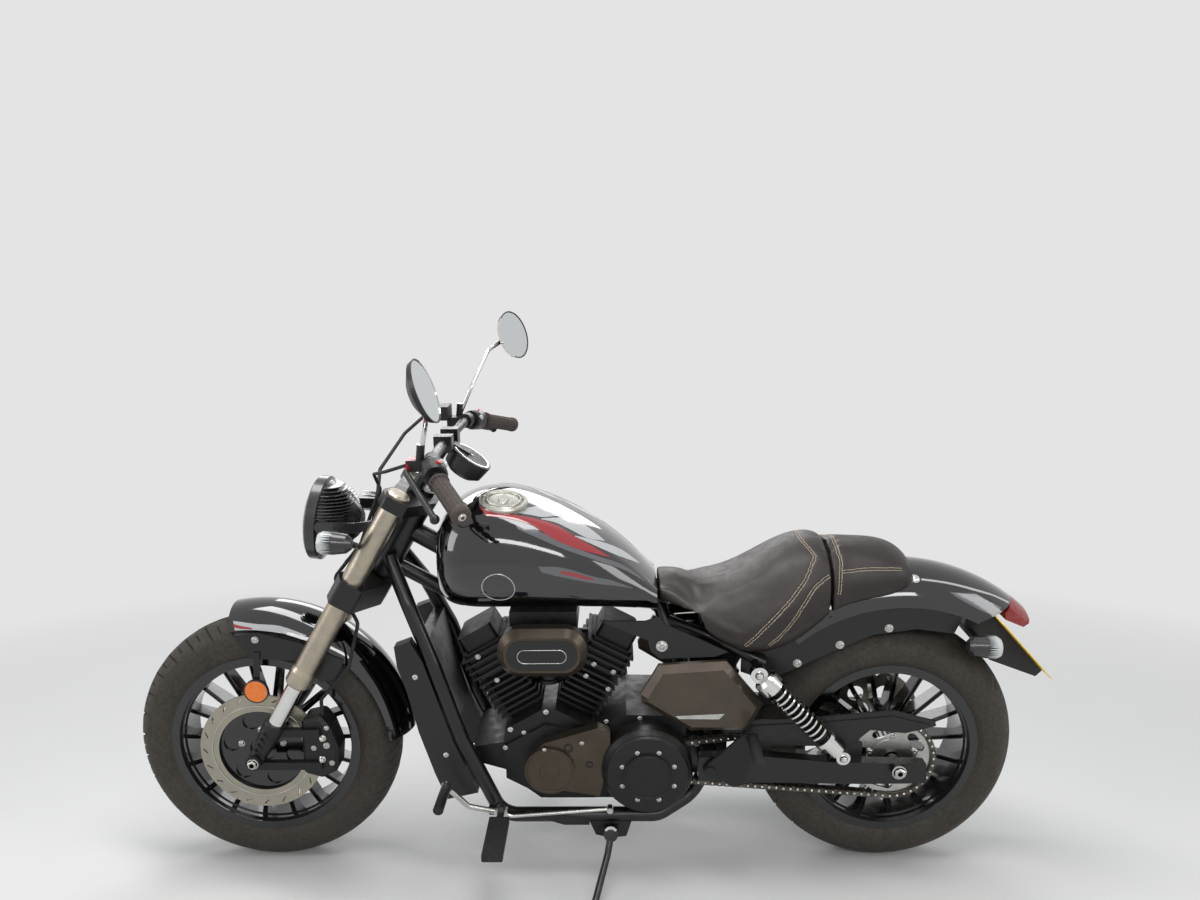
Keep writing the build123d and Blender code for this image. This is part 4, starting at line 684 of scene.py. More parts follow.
class CRUISER_OT_tyres(bpy.types.Operator):
    """Both tyres with their moulded treads and sidewall rings"""
    bl_idname = "cruiser.tyres"
    bl_label = "Tyres"

    def execute(self, context):
        size = context.scene.cruiser_tyres
        depth = size.groove_depth / MM
        front = Shape()
        treaded(front, FRONT_AXLE, FRONT_TYRE,
                (size.front_pitches, 0.55, size.groove_width / MM, depth, (0.16, 0.97), 0.4, 0.8, 5.0, 5.0))
        piece("front_tyre_tread", front, ["tyre"], "front_wheel", ["front_tyre"], FRONT_AXLE,
              smooth=28.0)
        rear = Shape()
        treaded(rear, REAR_AXLE, REAR_TYRE,
                (size.rear_pitches, 0.9, size.groove_width / MM * 1.2, depth, (0.12, 0.72), 0.3, 0.55,
                 0.0, 0.0))
        piece("rear_tyre_tread", rear, ["tyre"], "rear_wheel", ["rear_tyre"], REAR_AXLE,
              smooth=28.0)
        return {"FINISHED"}


# Seats

# Pressure under the cover, and how many frames it swells for
COVER_PRESSURE = 4.0
SWELL_FRAMES = 20
# Offset of the two rows of stitches from their seam, and half the width that a seam draws in
STITCH_OFFSET = 3.2
SEAM_REACH = 5.5


def evaluated(made):
    """A new mesh with the object's modifiers worked in."""
    graph = bpy.context.evaluated_depsgraph_get()
    return bpy.data.meshes.new_from_object(made.evaluated_get(graph))


def swapped(made, mesh):
    """Gives an object its next mesh and drops its modifiers."""
    made.modifiers.clear()
    old = made.data
    made.data = mesh
    bpy.data.meshes.remove(old)


def tree_of(mesh):
    """Search tree of one mesh in its own coordinates."""
    return BVHTree.FromPolygons([vertex.co.copy() for vertex in mesh.vertices],
                                [tuple(face.vertices) for face in mesh.polygons])


def padded_seat(name, node, settings):
    """Upholstered pad: the solid remeshed, drawn in a little, blown up under its cover, its base held."""
    shown = frame["nodes"][node]
    hull = tree_of(shown.data)
    made = bpy.data.objects.new(name, shown.data.copy())
    bpy.context.scene.collection.objects.link(made)
    made.matrix_world = shown.matrix_world
    mesher = made.modifiers.new("Even net", "REMESH")
    mesher.mode = "VOXEL"
    mesher.voxel_size = settings.net_size
    swapped(made, evaluated(made))
    mesh = made.data
    down = -(PARKED.to_3x3() @ Vector((0.0, 0.0, 1.0)))
    held = made.vertex_groups.new(name="Base edge")
    start = []
    for vertex in mesh.vertices:
        place, normal, _, _ = hull.find_nearest(vertex.co)
        inward = 0.0 if normal.dot(down) > 0.35 else settings.draw_in
        start.append((vertex.co - vertex.normal * inward, inward == 0.0))
    for vertex, (place, pinned) in zip(mesh.vertices, start):
        vertex.co = place
        if pinned:
            held.add([vertex.index], 1.0, "REPLACE")
    cloth = made.modifiers.new("Cover", "CLOTH")
    cloth.settings.use_pressure = True
    cloth.settings.uniform_pressure_force = COVER_PRESSURE
    cloth.settings.vertex_group_mass = "Base edge"
    cloth.settings.effector_weights.gravity = 0.0
    cloth.settings.quality = 5
    scene = bpy.context.scene
    for step in range(1, SWELL_FRAMES + 1):
        scene.frame_set(step)
    blown = evaluated(made)
    scene.frame_set(1)
    swapped(made, blown)
    mesh = made.data
    for vertex, (place, pinned) in zip(mesh.vertices, start):
        moved = vertex.co - place
        if moved.length > settings.rise_limit:
            vertex.co = place + moved.normalized() * settings.rise_limit
        near, normal, _, _ = hull.find_nearest(vertex.co)
        proud = (vertex.co - near).dot(normal)
        if proud > settings.proud_limit:
            vertex.co -= normal * (proud - settings.proud_limit)
    calm = made.modifiers.new("Calmed folds", "SMOOTH")
    calm.factor = 0.5
    calm.iterations = settings.calm_passes
    swapped(made, evaluated(made))
    finer = made.modifiers.new("Rounded", "SUBSURF")
    finer.levels = finer.render_levels = 1
    swapped(made, evaluated(made))
    return made


def pressed(made, lines, width, depth):
    """Draws the cover in along its seams, and gives the surface after that."""
    mesh = made.data
    spots = [PARKED @ (point * MM) for line in lines for point in line]
    from_seam = KDTree(len(spots))
    for index, spot in enumerate(spots):
        from_seam.insert(spot, index)
    from_seam.balance()
    moves = []
    for vertex in mesh.vertices:
        reach = from_seam.find(vertex.co)[2] / (width * MM)
        moves.append(vertex.normal * depth * MM * (1.0 - reach * reach) ** 2 if reach < 1.0 else None)
    for vertex, move in zip(mesh.vertices, moves):
        if move is not None:
            vertex.co -= move
    return tree_of(mesh)


def resampled(path, spacing=0.0, count=0):
    """Points at even distances along a line of points."""
    lengths = [0.0]
    for before, here in zip(path, path[1:]):
        lengths.append(lengths[-1] + (here - before).length)
    count = count or max(2, int(lengths[-1] / spacing))
    out = []
    segment = 0
    for index in range(count + 1):
        goal = lengths[-1] * index / count
        while segment < len(path) - 2 and lengths[segment + 1] < goal:
            segment += 1
        length = lengths[segment + 1] - lengths[segment]
        part_way = (goal - lengths[segment]) / length if length else 0.0
        out.append(path[segment].lerp(path[segment + 1], part_way))
    return out


def stitch_row(shape, cover, line, offset, pitch=5.0, length=4.1, thick=0.72):
    """One row of lockstitch beside a seam, each stitch a short thread that dips into the cover."""
    spots = resampled(line, pitch)
    for index in range(len(spots) - 1):
        start = spots[index]
        along = (spots[index + 1] - start).normalized()
        place, normal, _, _ = cover.find_nearest(PARKED @ ((start + along * length / 2.0) * MM))
        place = (UPRIGHT @ place) / MM
        normal = (UPRIGHT.to_3x3() @ normal).normalized()
        side = along.cross(normal).normalized()
        along = normal.cross(side)
        middle = place + side * offset
        middle = (UPRIGHT @ cover.find_nearest(PARKED @ (middle * MM))[0]) / MM
        ends = [middle + along * length * share + normal * rise
                for share, rise in ((-0.5, -0.4), (-0.34, 0.5), (0.0, 0.8), (0.34, 0.5), (0.5, -0.4))]
        swept(shape, ends, [thick * 0.7, thick, thick, thick, thick * 0.7], 6)


# Seams on the left half, from the middle outward; the right half mirrors them
SEAMS = {
    "rider_seat": (
        [(-503, 0, 783), (-505, 30, 783), (-511, 57, 779), (-522, 90, 766), (-513, 104, 754), (-499, 124, 728),
         (-462, 144, 683), (-419, 153, 637), (-370, 144, 583)],
        [(-556, 114, 731), (-538, 122, 724), (-513, 133, 704), (-482, 144, 655), (-452, 145, 613),
         (-420, 142, 584)],
    ),
    "pillion_seat": (
        [(-579, 0, 777), (-578, 30, 775), (-576, 60, 771), (-581, 90, 756), (-577, 111, 730), (-573, 119, 686)],
        [(-581, 107, 738), (-620, 100, 740), (-670, 97, 739), (-712, 88, 735)],
    ),
}


class CRUISER_OT_seats(bpy.types.Operator):
    """Both seat pads with their drawn-in seams and cream double stitching"""
    bl_idname = "cruiser.seats"
    bl_label = "Seats"

    def execute(self, context):
        settings = context.scene.cruiser_seats
        for node, lines in SEAMS.items():
            pad = padded_seat(node + "_pad", node, settings)
            drawn = []
            for line in lines:
                left = [Vector(point) for point in line]
                right = [Vector((point.x, -point.y, point.z)) for point in left]
                if abs(left[0].y) < 1.0:
                    drawn.append(smooth_path(list(reversed(right[1:])) + left, 8))
                else:
                    drawn += [smooth_path(left, 8), smooth_path(right, 8)]
            cover = tree_of(pad.data)
            for line in drawn:
                for index, point in enumerate(line):
                    line[index] = (UPRIGHT @ cover.find_nearest(PARKED @ (point * MM))[0]) / MM
            cover = pressed(pad, drawn, SEAM_REACH, settings.seam_depth / MM)
            pad.data.materials.clear()
            pad.data.materials.append(FINISHES["leather"])
            pad.data.shade_smooth()
            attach(pad, "frame")
            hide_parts(node)
            thread = Shape()
            for line in drawn:
                for offset in (-STITCH_OFFSET, STITCH_OFFSET):
                    stitch_row(thread, cover, line, offset)
            piece(node + "_stitches", thread, ["thread"], "frame")
        return {"FINISHED"}


# Coloured films

# The red film lies this much higher, over the white one where they meet
RED_LIFT = 0.25

# Node, finish, upper edge and lower edge on the left side
FILMS = (
    ("fuel_tank", "white_film",
     ((144, 107, 877), (114, 99, 875), (81, 70, 872), (60, 49, 867), (15, 48, 848)),
     ((143, 110, 877), (113, 109, 872), (79, 102, 864), (51, 92, 856), (15, 50, 847))),
    ("fuel_tank", "white_film",
     ((57, 103, 856), (26, 73, 849), (-2, 48, 839), (-38, 45, 820), (-76, 62, 794)),
     ((56, 105, 856), (25, 95, 844), (-4, 96, 830), (-39, 94, 811), (-76, 65, 793))),
    ("fuel_tank", "white_film",
     ((-14, 110, 821), (-45, 91, 807), (-84, 66, 787), (-117, 48, 765), (-150, 40, 735)),
     ((-14, 112, 820), (-46, 106, 802), (-84, 95, 780), (-116, 76, 759), (-150, 45, 735))),
    ("fuel_tank", "red_film",
     ((187, 95, 880), (131, 118, 873), (75, 111, 861), (25, 104, 842), (-14, 112, 820), (-52, 109, 796),
      (-87, 105, 771)),
     ((168, 128, 871), (121, 130, 865), (74, 130, 851), (36, 137, 827), (-8, 134, 804), (-52, 122, 786),
      (-87, 106, 770))),
    # Grey band under the red one: partly the tank's grey stripe, partly a painted reflection of the ceiling
    # light on the glossy enamel
    ("fuel_tank", "grey_film",
     ((111, 134, 859), (67, 135, 843), (11, 136, 815), (-52, 124, 784), (-116, 98, 750), (-162, 86, 710)),
     ((101, 143, 846), (60, 146, 828), (10, 144, 804), (-52, 131, 776), (-116, 106, 743), (-162, 88, 709))),
    ("fuel_tank", "grey_film",
     ((60, 167, 774), (10, 159, 768), (-52, 144, 743), (-93, 130, 728), (-135, 113, 705)),
     ((52, 167, 761), (11, 161, 748), (-52, 146, 729), (-93, 131, 718), (-135, 113, 704))),
    ("fuel_tank", "red_film",
     ((14, 162, 762), (-8, 156, 757), (-36, 150, 746), (-55, 144, 737)),
     ((14, 162, 757), (-8, 157, 749), (-36, 150, 739), (-55, 144, 736))),
    ("front_fender", "white_film",
     ((750, 58, 611), (697, 64, 606), (644, 64, 601), (588, 66, 580)),
     ((742, 71, 594), (695, 72, 595), (643, 72, 588), (587, 67, 578))),
    ("front_fender", "red_film",
     ((748, 63, 606), (732, 66, 603), (705, 69, 599)),
     ((746, 67, 600), (731, 70, 598), (704, 71, 596))),
    ("rear_fender", "grey_film",
     ((-817, 77, 677), (-863, 72, 668), (-904, 70, 653), (-936, 68, 637)),
     ((-832, 81, 666), (-860, 85, 651), (-888, 86, 636), (-914, 84, 626))),
    ("rear_fender", "white_film",
     ((-760, 62, 703), (-821, 61, 693), (-879, 57, 676), (-925, 50, 659), (-962, 44, 640)),
     ((-759, 66, 700), (-820, 65, 690), (-878, 62, 673), (-923, 55, 657), (-958, 50, 638))),
)


def laid_film(shape, tree, upper, lower, side, finish, lift, along=48, across=8):
    """Thin film between two edges, pressed onto the surface under it."""
    edges = [resampled(smooth_path(edge, 8), count=along) for edge in (upper, lower)]
    points = []
    for first, second in zip(*edges):
        for step in range(across + 1):
            spot = first.lerp(second, step / across)
            place, normal, _, _ = tree.find_nearest(Vector((spot.x, spot.y * side, spot.z)))
            points.append(place + normal * lift)
    faces = [(row * (across + 1) + step, row * (across + 1) + step + 1,
              (row + 1) * (across + 1) + step + 1, (row + 1) * (across + 1) + step)
             for row in range(along) for step in range(across)]
    shape.add(points, faces, finish)


class CRUISER_OT_films(bpy.types.Operator):
    """Coloured bands on the tank and both fenders"""
    bl_idname = "cruiser.films"
    bl_label = "Films"

    def execute(self, context):
        lift = context.scene.cruiser_trim.film_lift / MM
        finishes = ["white_film", "red_film", "grey_film"]
        for node in ("fuel_tank", "front_fender", "rear_fender"):
            shape = Shape()
            for owner, finish, upper, lower in FILMS:
                if owner == node:
                    for side in (1.0, -1.0):
                        laid_film(shape, surface(node), upper, lower, side, finishes.index(finish),
                                  lift + (RED_LIFT if finish == "red_film" else 0.0))
            piece(node + "_films", shape, finishes, body_of(node))
        return {"FINISHED"}


# Fasteners

def socket_bolt(shape, place, toward, radius, height=0.0, finish=0):
    """Cap screw: collar, rounded head and a hexagon socket."""
    height = height or radius * 0.75
    head = [(-1.0, 0.0), (-1.0, radius * 1.25), (0.9, radius * 1.25), (1.2, radius * 1.1), (1.2, radius),
            (height - 0.8, radius), (height, radius - 0.8), (height, radius * 0.58)]
    socket = [(height, radius * 0.58), (height - radius * 0.5, radius * 0.5), (height - radius * 0.5, 0.0)]
    turned(shape, head, place, place + toward, 24, finish)
    turned(shape, socket, place, place + toward, 6, finish)


def hexagon_nut(shape, place, toward, radius):
    """Flanged nut with the end of its stud."""
    flange = [(-1.0, 0.0), (-1.0, radius * 1.3), (1.0, radius * 1.3), (2.2, radius * 1.05)]
    flats = [(1.6, radius), (radius * 0.85, radius), (radius, radius * 0.86), (radius, 0.5)]
    stud = [(radius * 0.6, radius * 0.55), (radius * 1.3, radius * 0.55), (radius * 1.45, radius * 0.4),
            (radius * 1.45, 0.0)]
    for profile, steps in ((flange, 24), (flats, 6), (stud, 18)):
        turned(shape, profile, place, place + toward, steps)


def axle_nut(shape, place, toward, radius, bore=6.2):
    """Flanged nut that leaves the hollow axle open."""
    flange = [(-0.5, bore), (-0.5, radius * 1.25), (1.4, radius * 1.25), (2.4, radius * 1.05)]
    flats = [(1.4, radius), (7.0, radius), (8.2, radius * 0.88), (8.2, bore), (-0.5, bore)]
    turned(shape, flange, place, place + toward, 32)
    turned(shape, flats, place, place + toward, 6)


# Bolts round the sprocket cover, and the radius of their circle
COVER_BOLTS = 8
COVER_BOLT_RING = 61.0

# Node, X, Z, radius of the head; all face the left side, and the last column repeats it on the right
LEFT_BOLTS = (
    ("radiator", 337, 507, 5.0, True), ("radiator", 279, 320, 5.0, True),
    ("front_cylinder", 208, 528, 5.0, False), ("front_cylinder", 168, 470, 4.5, False),
    ("crankcase", 138, 366, 5.0, False), ("crankcase", 58, 408, 5.0, False),
    ("crankcase", 150, 325, 4.5, False), ("crankcase", 108, 358, 4.5, False),
    ("crankcase", -75, 384, 4.5, False), ("crankcase", -150, 392, 4.5, False),
    ("main_frame", -279, 318, 5.0, True),
    ("rear_cylinder", -49, 509, 4.5, False), ("rear_cylinder", -92, 490, 4.5, False),
    ("rear_cylinder", -31, 479, 4.5, False), ("rear_cylinder", -80, 447, 4.5, False),
    ("left_engine_cover", -22, 352, 4.0, False), ("left_engine_cover", 60, 340, 3.8, False),
    ("seat_panels", -196, 579, 10.0, True),
    ("rear_frame", -494, 518, 7.5, True), ("rear_frame", -585, 561, 7.5, True),
    ("rear_frame", -689, 599, 7.5, True),
    ("fender_brackets", 698, 574, 6.5, True),
    ("front_caliper", 546, 376, 4.5, False), ("front_caliper", 549, 333, 6.0, False),
    ("front_caliper", 540, 290, 5.0, False), ("front_caliper", 578, 327, 5.0, False),
)


def bolt_seat(node, x, z, side=1.0, reach=0.0):
    """Point at X and Z on the outermost face that a node has there or just beside it, on one side."""
    found = []
    for across, along in ((0, 0), (1, 0), (-1, 0), (0, 1), (0, -1)):
        start = Vector((x + across * reach, side * 400.0, z + along * reach))
        place = surface(node).ray_cast(start, Vector((0.0, -side, 0.0)))[0]
        if place is not None:
            found.append(place.y)
    if not found:
        raise RuntimeError(f"no {node} at X {x} and Z {z}")
    return Vector((x, max(found) if side > 0 else min(found), z))


class CRUISER_OT_bolts(bpy.types.Operator):
    """Plated screws and nuts, each seated on the face it holds"""
    bl_idname = "cruiser.bolts"
    bl_label = "Fasteners"

    def execute(self, context):
        shapes = {name: Shape() for name in ("frame", "steering", "front_wheel", "rear_wheel")}
        for node, x, z, radius, both in LEFT_BOLTS:
            for side in ((1.0, -1.0) if both else (1.0,)):
                place = bolt_seat(node, x, z, side, radius)
                socket_bolt(shapes[body_of(node)], place, Vector((0.0, side, 0.0)), radius)
        for index in range(COVER_BOLTS):
            angle = math.radians(22.5 + 45.0 * index)
            place = bolt_seat("sprocket_cover", DRIVE_X + COVER_BOLT_RING * math.cos(angle),
                              DRIVE_Z + COVER_BOLT_RING * math.sin(angle))
            socket_bolt(shapes["frame"], place, Vector((0.0, 1.0, 0.0)), 4.2)
        for side in (1.0, -1.0):
            axle_nut(shapes["frame"], bolt_seat("swingarm", REAR_AXLE.x, REAR_AXLE.z, side, 12.0),
                     Vector((0.0, side, 0.0)), 12.5)
            axle_nut(shapes["steering"], bolt_seat("fork_bottoms", FRONT_AXLE.x, FRONT_AXLE.z, side, 9.0),
                     Vector((0.0, side, 0.0)), 10.0)
            for x, z, radius in ((-584, 334, 7.0), (-399, 529, 7.5)):
                hexagon_nut(shapes["frame"], bolt_seat("shocks", x, z, side, 13.0), Vector((0.0, side, 0.0)),
                            radius)
        for wheel, disc, rim, axle, ring, side in (
                ("front_wheel", "front_disc", "front_rim", FRONT_AXLE, 50.0, 1.0),
                ("rear_wheel", "rear_sprocket", "rear_rim", REAR_AXLE, 52.0, 1.0),
                ("rear_wheel", "rear_disc", "rear_rim", REAR_AXLE, 52.0, -1.0)):
            for index in range(5):
                angle = math.radians(18.0 + 72.0 * index)
                start = Vector((axle.x + ring * math.cos(angle), side * 400.0,
                                axle.z + ring * math.sin(angle)))
                found = [hit for node in (disc, rim)
                         for hit in [surface(node).ray_cast(start, Vector((0.0, -side, 0.0)))] if hit[0]]
                if not found:
                    raise RuntimeError(f"no face for the bolts of {disc}")
                place = min(found, key=lambda hit: hit[3])[0]
                socket_bolt(shapes[wheel], place, Vector((0.0, side, 0.0)), 6.0, 5.0)
        for body, shape in shapes.items():
            piece(body + "_fasteners", shape, ["zinc"], body)
        return {"FINISHED"}


# Engine covers, tank cap and badges

def oval(centre, half_length, half_height, steps=16):
    """Outline of a flat-sided oval in X and Z."""
    x, z = centre
    straight = half_length - half_height
    out = []
    for index in range(2 * steps + 2):
        end = 1.0 if index <= steps else -1.0
        turn = math.radians(-90.0 + 180.0 * (index % (steps + 1)) / steps) + (0.0 if end > 0 else math.pi)
        out.append((x + end * straight + half_height * math.cos(turn), z + half_height * math.sin(turn)))
    return out


def ring_on(shape, node, centre, radius, thick, finish=0, side=1.0, steps=72):
    """Slim raised ring that follows a node's left or right face."""
    path = []
    for index in range(steps):
        angle = 2.0 * math.pi * index / steps
        x = centre[0] + radius * math.cos(angle)
        z = centre[1] + radius * math.sin(angle)
        path.append(bolt_seat(node, x, z, side))
    swept(shape, path, thick, 8, True, finish)


# Centres in X and Z of the air cleaner, the left engine cover and the tank's badge
AIR_CLEANER = (59.0, 568.0)
LEFT_COVER = (50.0, 287.0)
BADGE = (144.0, 725.0)


class CRUISER_OT_covers(bpy.types.Operator):
    """Oval plate of the air cleaner, and the rings and bosses of the engine covers"""
    bl_idname = "cruiser.covers"
    bl_label = "Engine covers"

    def execute(self, context):
        shape = Shape()
        face = bolt_seat("air_cleaner", 59, 568).y
        prism(shape, oval(AIR_CLEANER, 76.0, 34.0), face - 0.5, face + 1.6)
        line = [Vector((x, face + 1.7, z)) for x, z in oval((59.0, 566.0), 52.0, 15.0)]
        swept(shape, line, 1.0, 8, True, 1)
        piece("air_cleaner_oval", shape, ["abs", "zinc"], "frame", bevel=0.6)
        rings = Shape()
        for node, centre, radius, thick, finish in (
                ("left_engine_cover", LEFT_COVER, 50.0, 1.7, 0),
                ("left_engine_cover", LEFT_COVER, 22.0, 1.4, 0),
                ("sprocket_cover", (DRIVE_X, DRIVE_Z), 49.0, 1.6, 1),
                ("sprocket_cover", (DRIVE_X, DRIVE_Z), 92.0, 1.3, 1)):
            ring_on(rings, node, centre, radius, thick, finish)
        for x, z, radius in ((8, 340, 7.0), (-38, 300, 5.0)):
            place = bolt_seat("left_engine_cover", x, z)
            boss = [(-1.0, radius + 3.0), (1.2, radius + 3.0), (1.8, radius + 1.5), (1.2, radius),
                    (-0.8, radius), (-0.8, 0.0)]
            turned(rings, boss, place, place + Vector((0.0, 1.0, 0.0)), 32, 1)
        piece("engine_cover_rings", rings, ["bronze", "cast"], "frame")
        return {"FINISHED"}


def cap_flap(shape, place, across, third, toward, steps=32):
    """Oval flap over the filler cap's lock, a little smaller at its top."""
    points = []
    for height, share in ((-0.5, 1.0), (2.2, 0.92)):
        for index in range(steps):
            angle = 2.0 * math.pi * index / steps
            u, v = 12.0 * math.cos(angle), 20.0 * math.sin(angle)
            points.append(place + (across * u + third * v) * share + toward * height)
    shape.add(points, plate_faces(steps))


class CRUISER_OT_tank_trim(bpy.types.Operator):
    """Bare badge rings, strips of the side covers, and the filler cap's ring, flap and screws"""
    bl_idname = "cruiser.tank_trim"
    bl_label = "Tank trim"

    def execute(self, context):
        shape = Shape()
        strips = Shape()
        for side in (1.0, -1.0):
            ring_on(shape, "fuel_tank", BADGE, 34.0, 1.1, side=side)
            laid_film(strips, surface("side_covers"), [(-225, 152, 428), (-330, 152, 433)],
                      [(-232, 152, 421), (-318, 152, 420)], side, 0, 0.5, 20, 4)
        piece("tank_badge_rings", shape, ["white_film"], "frame")
        piece("side_cover_strips", strips, ["zinc"], "frame")
        cap = Shape()
        low = Vector((138.0, 71.0, 884.0))
        toward = Vector((-9.0, 16.5, 98.0)).normalized()
        place = surface("tank_cap").ray_cast(low + toward * 80.0, -toward)[0]
        ring = [(0.2, 34.0), (1.4, 34.6), (1.8, 36.0), (1.4, 37.4), (0.2, 38.0)]
        turned(cap, ring, place, place + toward, 64)
        across, third = square_axes(toward)[1:]
        cap_flap(cap, place, across, third, toward)
        for index in range(5):
            angle = 2.0 * math.pi * (index + 0.3) / 5
            spot = place + (across * math.cos(angle) + third * math.sin(angle)) * 44.0 + toward * 30.0
            seat = surface("tank_cap").ray_cast(spot, -toward)[0]
            if seat:
                socket_bolt(cap, seat, toward, 2.6, 2.0, 1)
        piece("tank_cap_lock", cap, ["cap", "zinc"], "frame")
        return {"FINISHED"}


# Intake between the cylinders, and small parts of the front wheel

class CRUISER_OT_intake(bpy.types.Operator):
    """Rubber intake stubs with their clamp bands between the two cylinders, under the air cleaner"""
    bl_idname = "cruiser.intake"
    bl_label = "Intake"

    def execute(self, context):
        shape = Shape()
        middle = Vector((54.0, 22.0, 498.0))
        throat = [(-2.0, 0.0), (-2.0, 30.0), (6.0, 30.0), (8.0, 26.0), (58.0, 26.0), (60.0, 31.0),
                  (70.0, 31.0), (70.0, 0.0)]
        turned(shape, throat, middle + Vector((0.0, 0.0, -46.0)), middle + Vector((0.0, 0.0, 40.0)), 40)
        for end in (Vector((118.0, 22.0, 470.0)), Vector((-8.0, 22.0, 470.0))):
            start = middle + Vector((0.0, 0.0, -14.0))
            length = (end - start).length
            stub = [(0.0, 21.0), (length * 0.45, 21.0), (length * 0.5, 24.0), (length, 24.0)]
            turned(shape, stub, start, end, 32, 1)
            for share in (0.42, 0.72):
                turned(shape, [(length * share, 24.5), (length * share, 26.0), (length * share + 8.0, 26.0),
                               (length * share + 8.0, 24.5)], start, end, 32, 2)
            clamp = start.lerp(end, 0.5) + Vector((0.0, 24.0, 0.0))
            socket_bolt(shape, clamp, Vector((0.0, 1.0, 0.0)), 3.6, 3.0, 2)
        piece("intake_stubs", shape, ["cast", "hose", "zinc"], "frame")
        return {"FINISHED"}


class CRUISER_OT_front_wheel_detail(bpy.types.Operator):
    """Disc ring, reflector rims, ribs of the fork legs, caliper fittings and the clip behind the seat"""
    bl_idname = "cruiser.front_wheel_detail"
    bl_label = "Front wheel detail"

    def execute(self, context):
        ring = Shape()
        path = []
        for index in range(96):
            angle = 2.0 * math.pi * index / 96
            path.append(Vector((FRONT_AXLE.x + 112.0 * math.cos(angle), 77.3,
                                FRONT_AXLE.z + 112.0 * math.sin(angle))))
        swept(ring, path, 1.6, 8, True)
        piece("front_disc_ring", ring, ["steel"], "front_wheel")
        rims = Shape()
        for side in (1.0, -1.0):
            place = bolt_seat("reflectors", 703.0, 455.0, side)
            turned(rims, [(-6.0, 25.6), (-6.0, 27.6), (0.6, 27.6), (1.2, 26.6), (0.6, 25.2), (-0.4, 25.0)],
                   place, place + Vector((0.0, side, 0.0)), 48, 0)
            for height in (14.0, 30.0, 46.0, 62.0, 78.0):
                place = fork(height, 0.0, side * 105.0)
                spot = bolt_seat("fork_bottoms", place.x + 8.0, place.z, side, 4.0)
                rib = [spot + FORK_AHEAD * 7.0 + FORK_UP * 3.0, spot - FORK_AHEAD * 9.0 - FORK_UP * 3.0]
                swept(rims, rib, 2.2, 8, finish=1)
        piece("reflector_rims", rims, ["abs", "cast"], "steering")
        line = Shape()
        for x, z in ((556.0, 352.0), (560.0, 300.0)):
            place = bolt_seat("front_caliper", x, z, 1.0, 6.0)
            turned(line, [(-1.0, 8.0), (3.0, 8.0), (4.5, 6.5), (4.5, 5.0), (9.0, 5.0), (10.5, 3.4),
                          (10.5, 0.0)],
                   place, place + Vector((0.0, 1.0, 0.0)), 28)
        piece("caliper_fittings", line, ["zinc"], "steering")
        clip = Shape()
        place, normal = cast("rear_fender", (-746.0, 64.0, 800.0), (0.0, 0.0, -1.0))
        button = [(-1.0, 0.0), (-1.0, 10.0), (2.0, 10.0), (5.0, 7.5), (6.5, 3.5), (6.5, 0.0)]
        turned(clip, button, place, place + normal, 28)
        piece("seat_clip", clip, ["chrome"], "frame")
        return {"FINISHED"}


# Chain links and headlamp fins

# Faces of the chain's outer plates at its left and right, and each face that pin heads stand on with its side
PLATE_FACES = ((107.8, 109.1), (90.9, 92.2))
PIN_FACES = ((108.0, 1.0), (92.0, -1.0))


def chain_pins():
    """Centres of the chain's pins in X and Z, from the rearmost tooth gap over the top and back."""
    gap = 2.0 * math.pi * REAR_PITCH_R / REAR_TEETH

    def length(span):
        wrap = math.asin((REAR_PITCH_R - FRONT_PITCH_R) / span)
        return (2.0 * span * math.cos(wrap) + REAR_PITCH_R * (math.pi + 2.0 * wrap)
                + FRONT_PITCH_R * (math.pi - 2.0 * wrap))

    span = math.hypot(DRIVE_X - REAR_AXLE.x, DRIVE_Z - REAR_AXLE.z)
    links = 2 * round(length(span) / gap / 2.0)
    for _ in range(30):
        span += (links * gap - length(span)) / 2.0
    fall = math.asin((DRIVE_Z - REAR_AXLE.z) / span)
    opening = math.acos((REAR_PITCH_R - FRONT_PITCH_R) / span)
    front = (REAR_AXLE.x + span * math.cos(fall), DRIVE_Z)

    def spot(centre, radius, angle):
        turn = angle + fall
        return Vector((centre[0] + radius * math.cos(turn), 0.0, centre[1] + radius * math.sin(turn)))

    rear = (REAR_AXLE.x, REAR_AXLE.z)
    arc = (math.pi - opening - fall) * REAR_PITCH_R
    straight = span * math.sin(opening)
    nose = 2.0 * opening * FRONT_PITCH_R
    upper = spot(rear, REAR_PITCH_R, opening), spot(front, FRONT_PITCH_R, opening)
    lower = spot(front, FRONT_PITCH_R, -opening), spot(rear, REAR_PITCH_R, -opening)
    pins = []
    for link in range(links):
        run = link * gap
        if run <= arc:
            pins.append(spot(rear, REAR_PITCH_R, math.pi - fall - run / REAR_PITCH_R))
        elif run <= arc + straight:
            pins.append(upper[0].lerp(upper[1], (run - arc) / straight))
        elif run <= arc + straight + nose:
            pins.append(spot(front, FRONT_PITCH_R, opening - (run - arc - straight) / FRONT_PITCH_R))
        elif run <= arc + 2.0 * straight + nose:
            pins.append(lower[0].lerp(lower[1], (run - arc - straight - nose) / straight))
        else:
            beyond = run - arc - 2.0 * straight - nose
            pins.append(spot(rear, REAR_PITCH_R, -opening - beyond / REAR_PITCH_R))
    return pins


def link_plate(shape, first, second, low, high, half=6.3, waist=4.4):
    """Waisted plate of one chain link between two pins."""
    along = (second - first).normalized()
    above = Vector((-along.z, 0.0, along.x))
    outline = []
    for end, centre, start in ((1.0, second, -65.0), (-1.0, first, 115.0)):
        for step in range(8):
            angle = math.radians(start + 130.0 * step / 7)
            outline.append(centre + along * half * math.cos(angle) + above * half * math.sin(angle))
        outline.append((first + second) / 2.0 + above * waist * end)
    prism(shape, [(point.x, point.z) for point in outline], low, high)


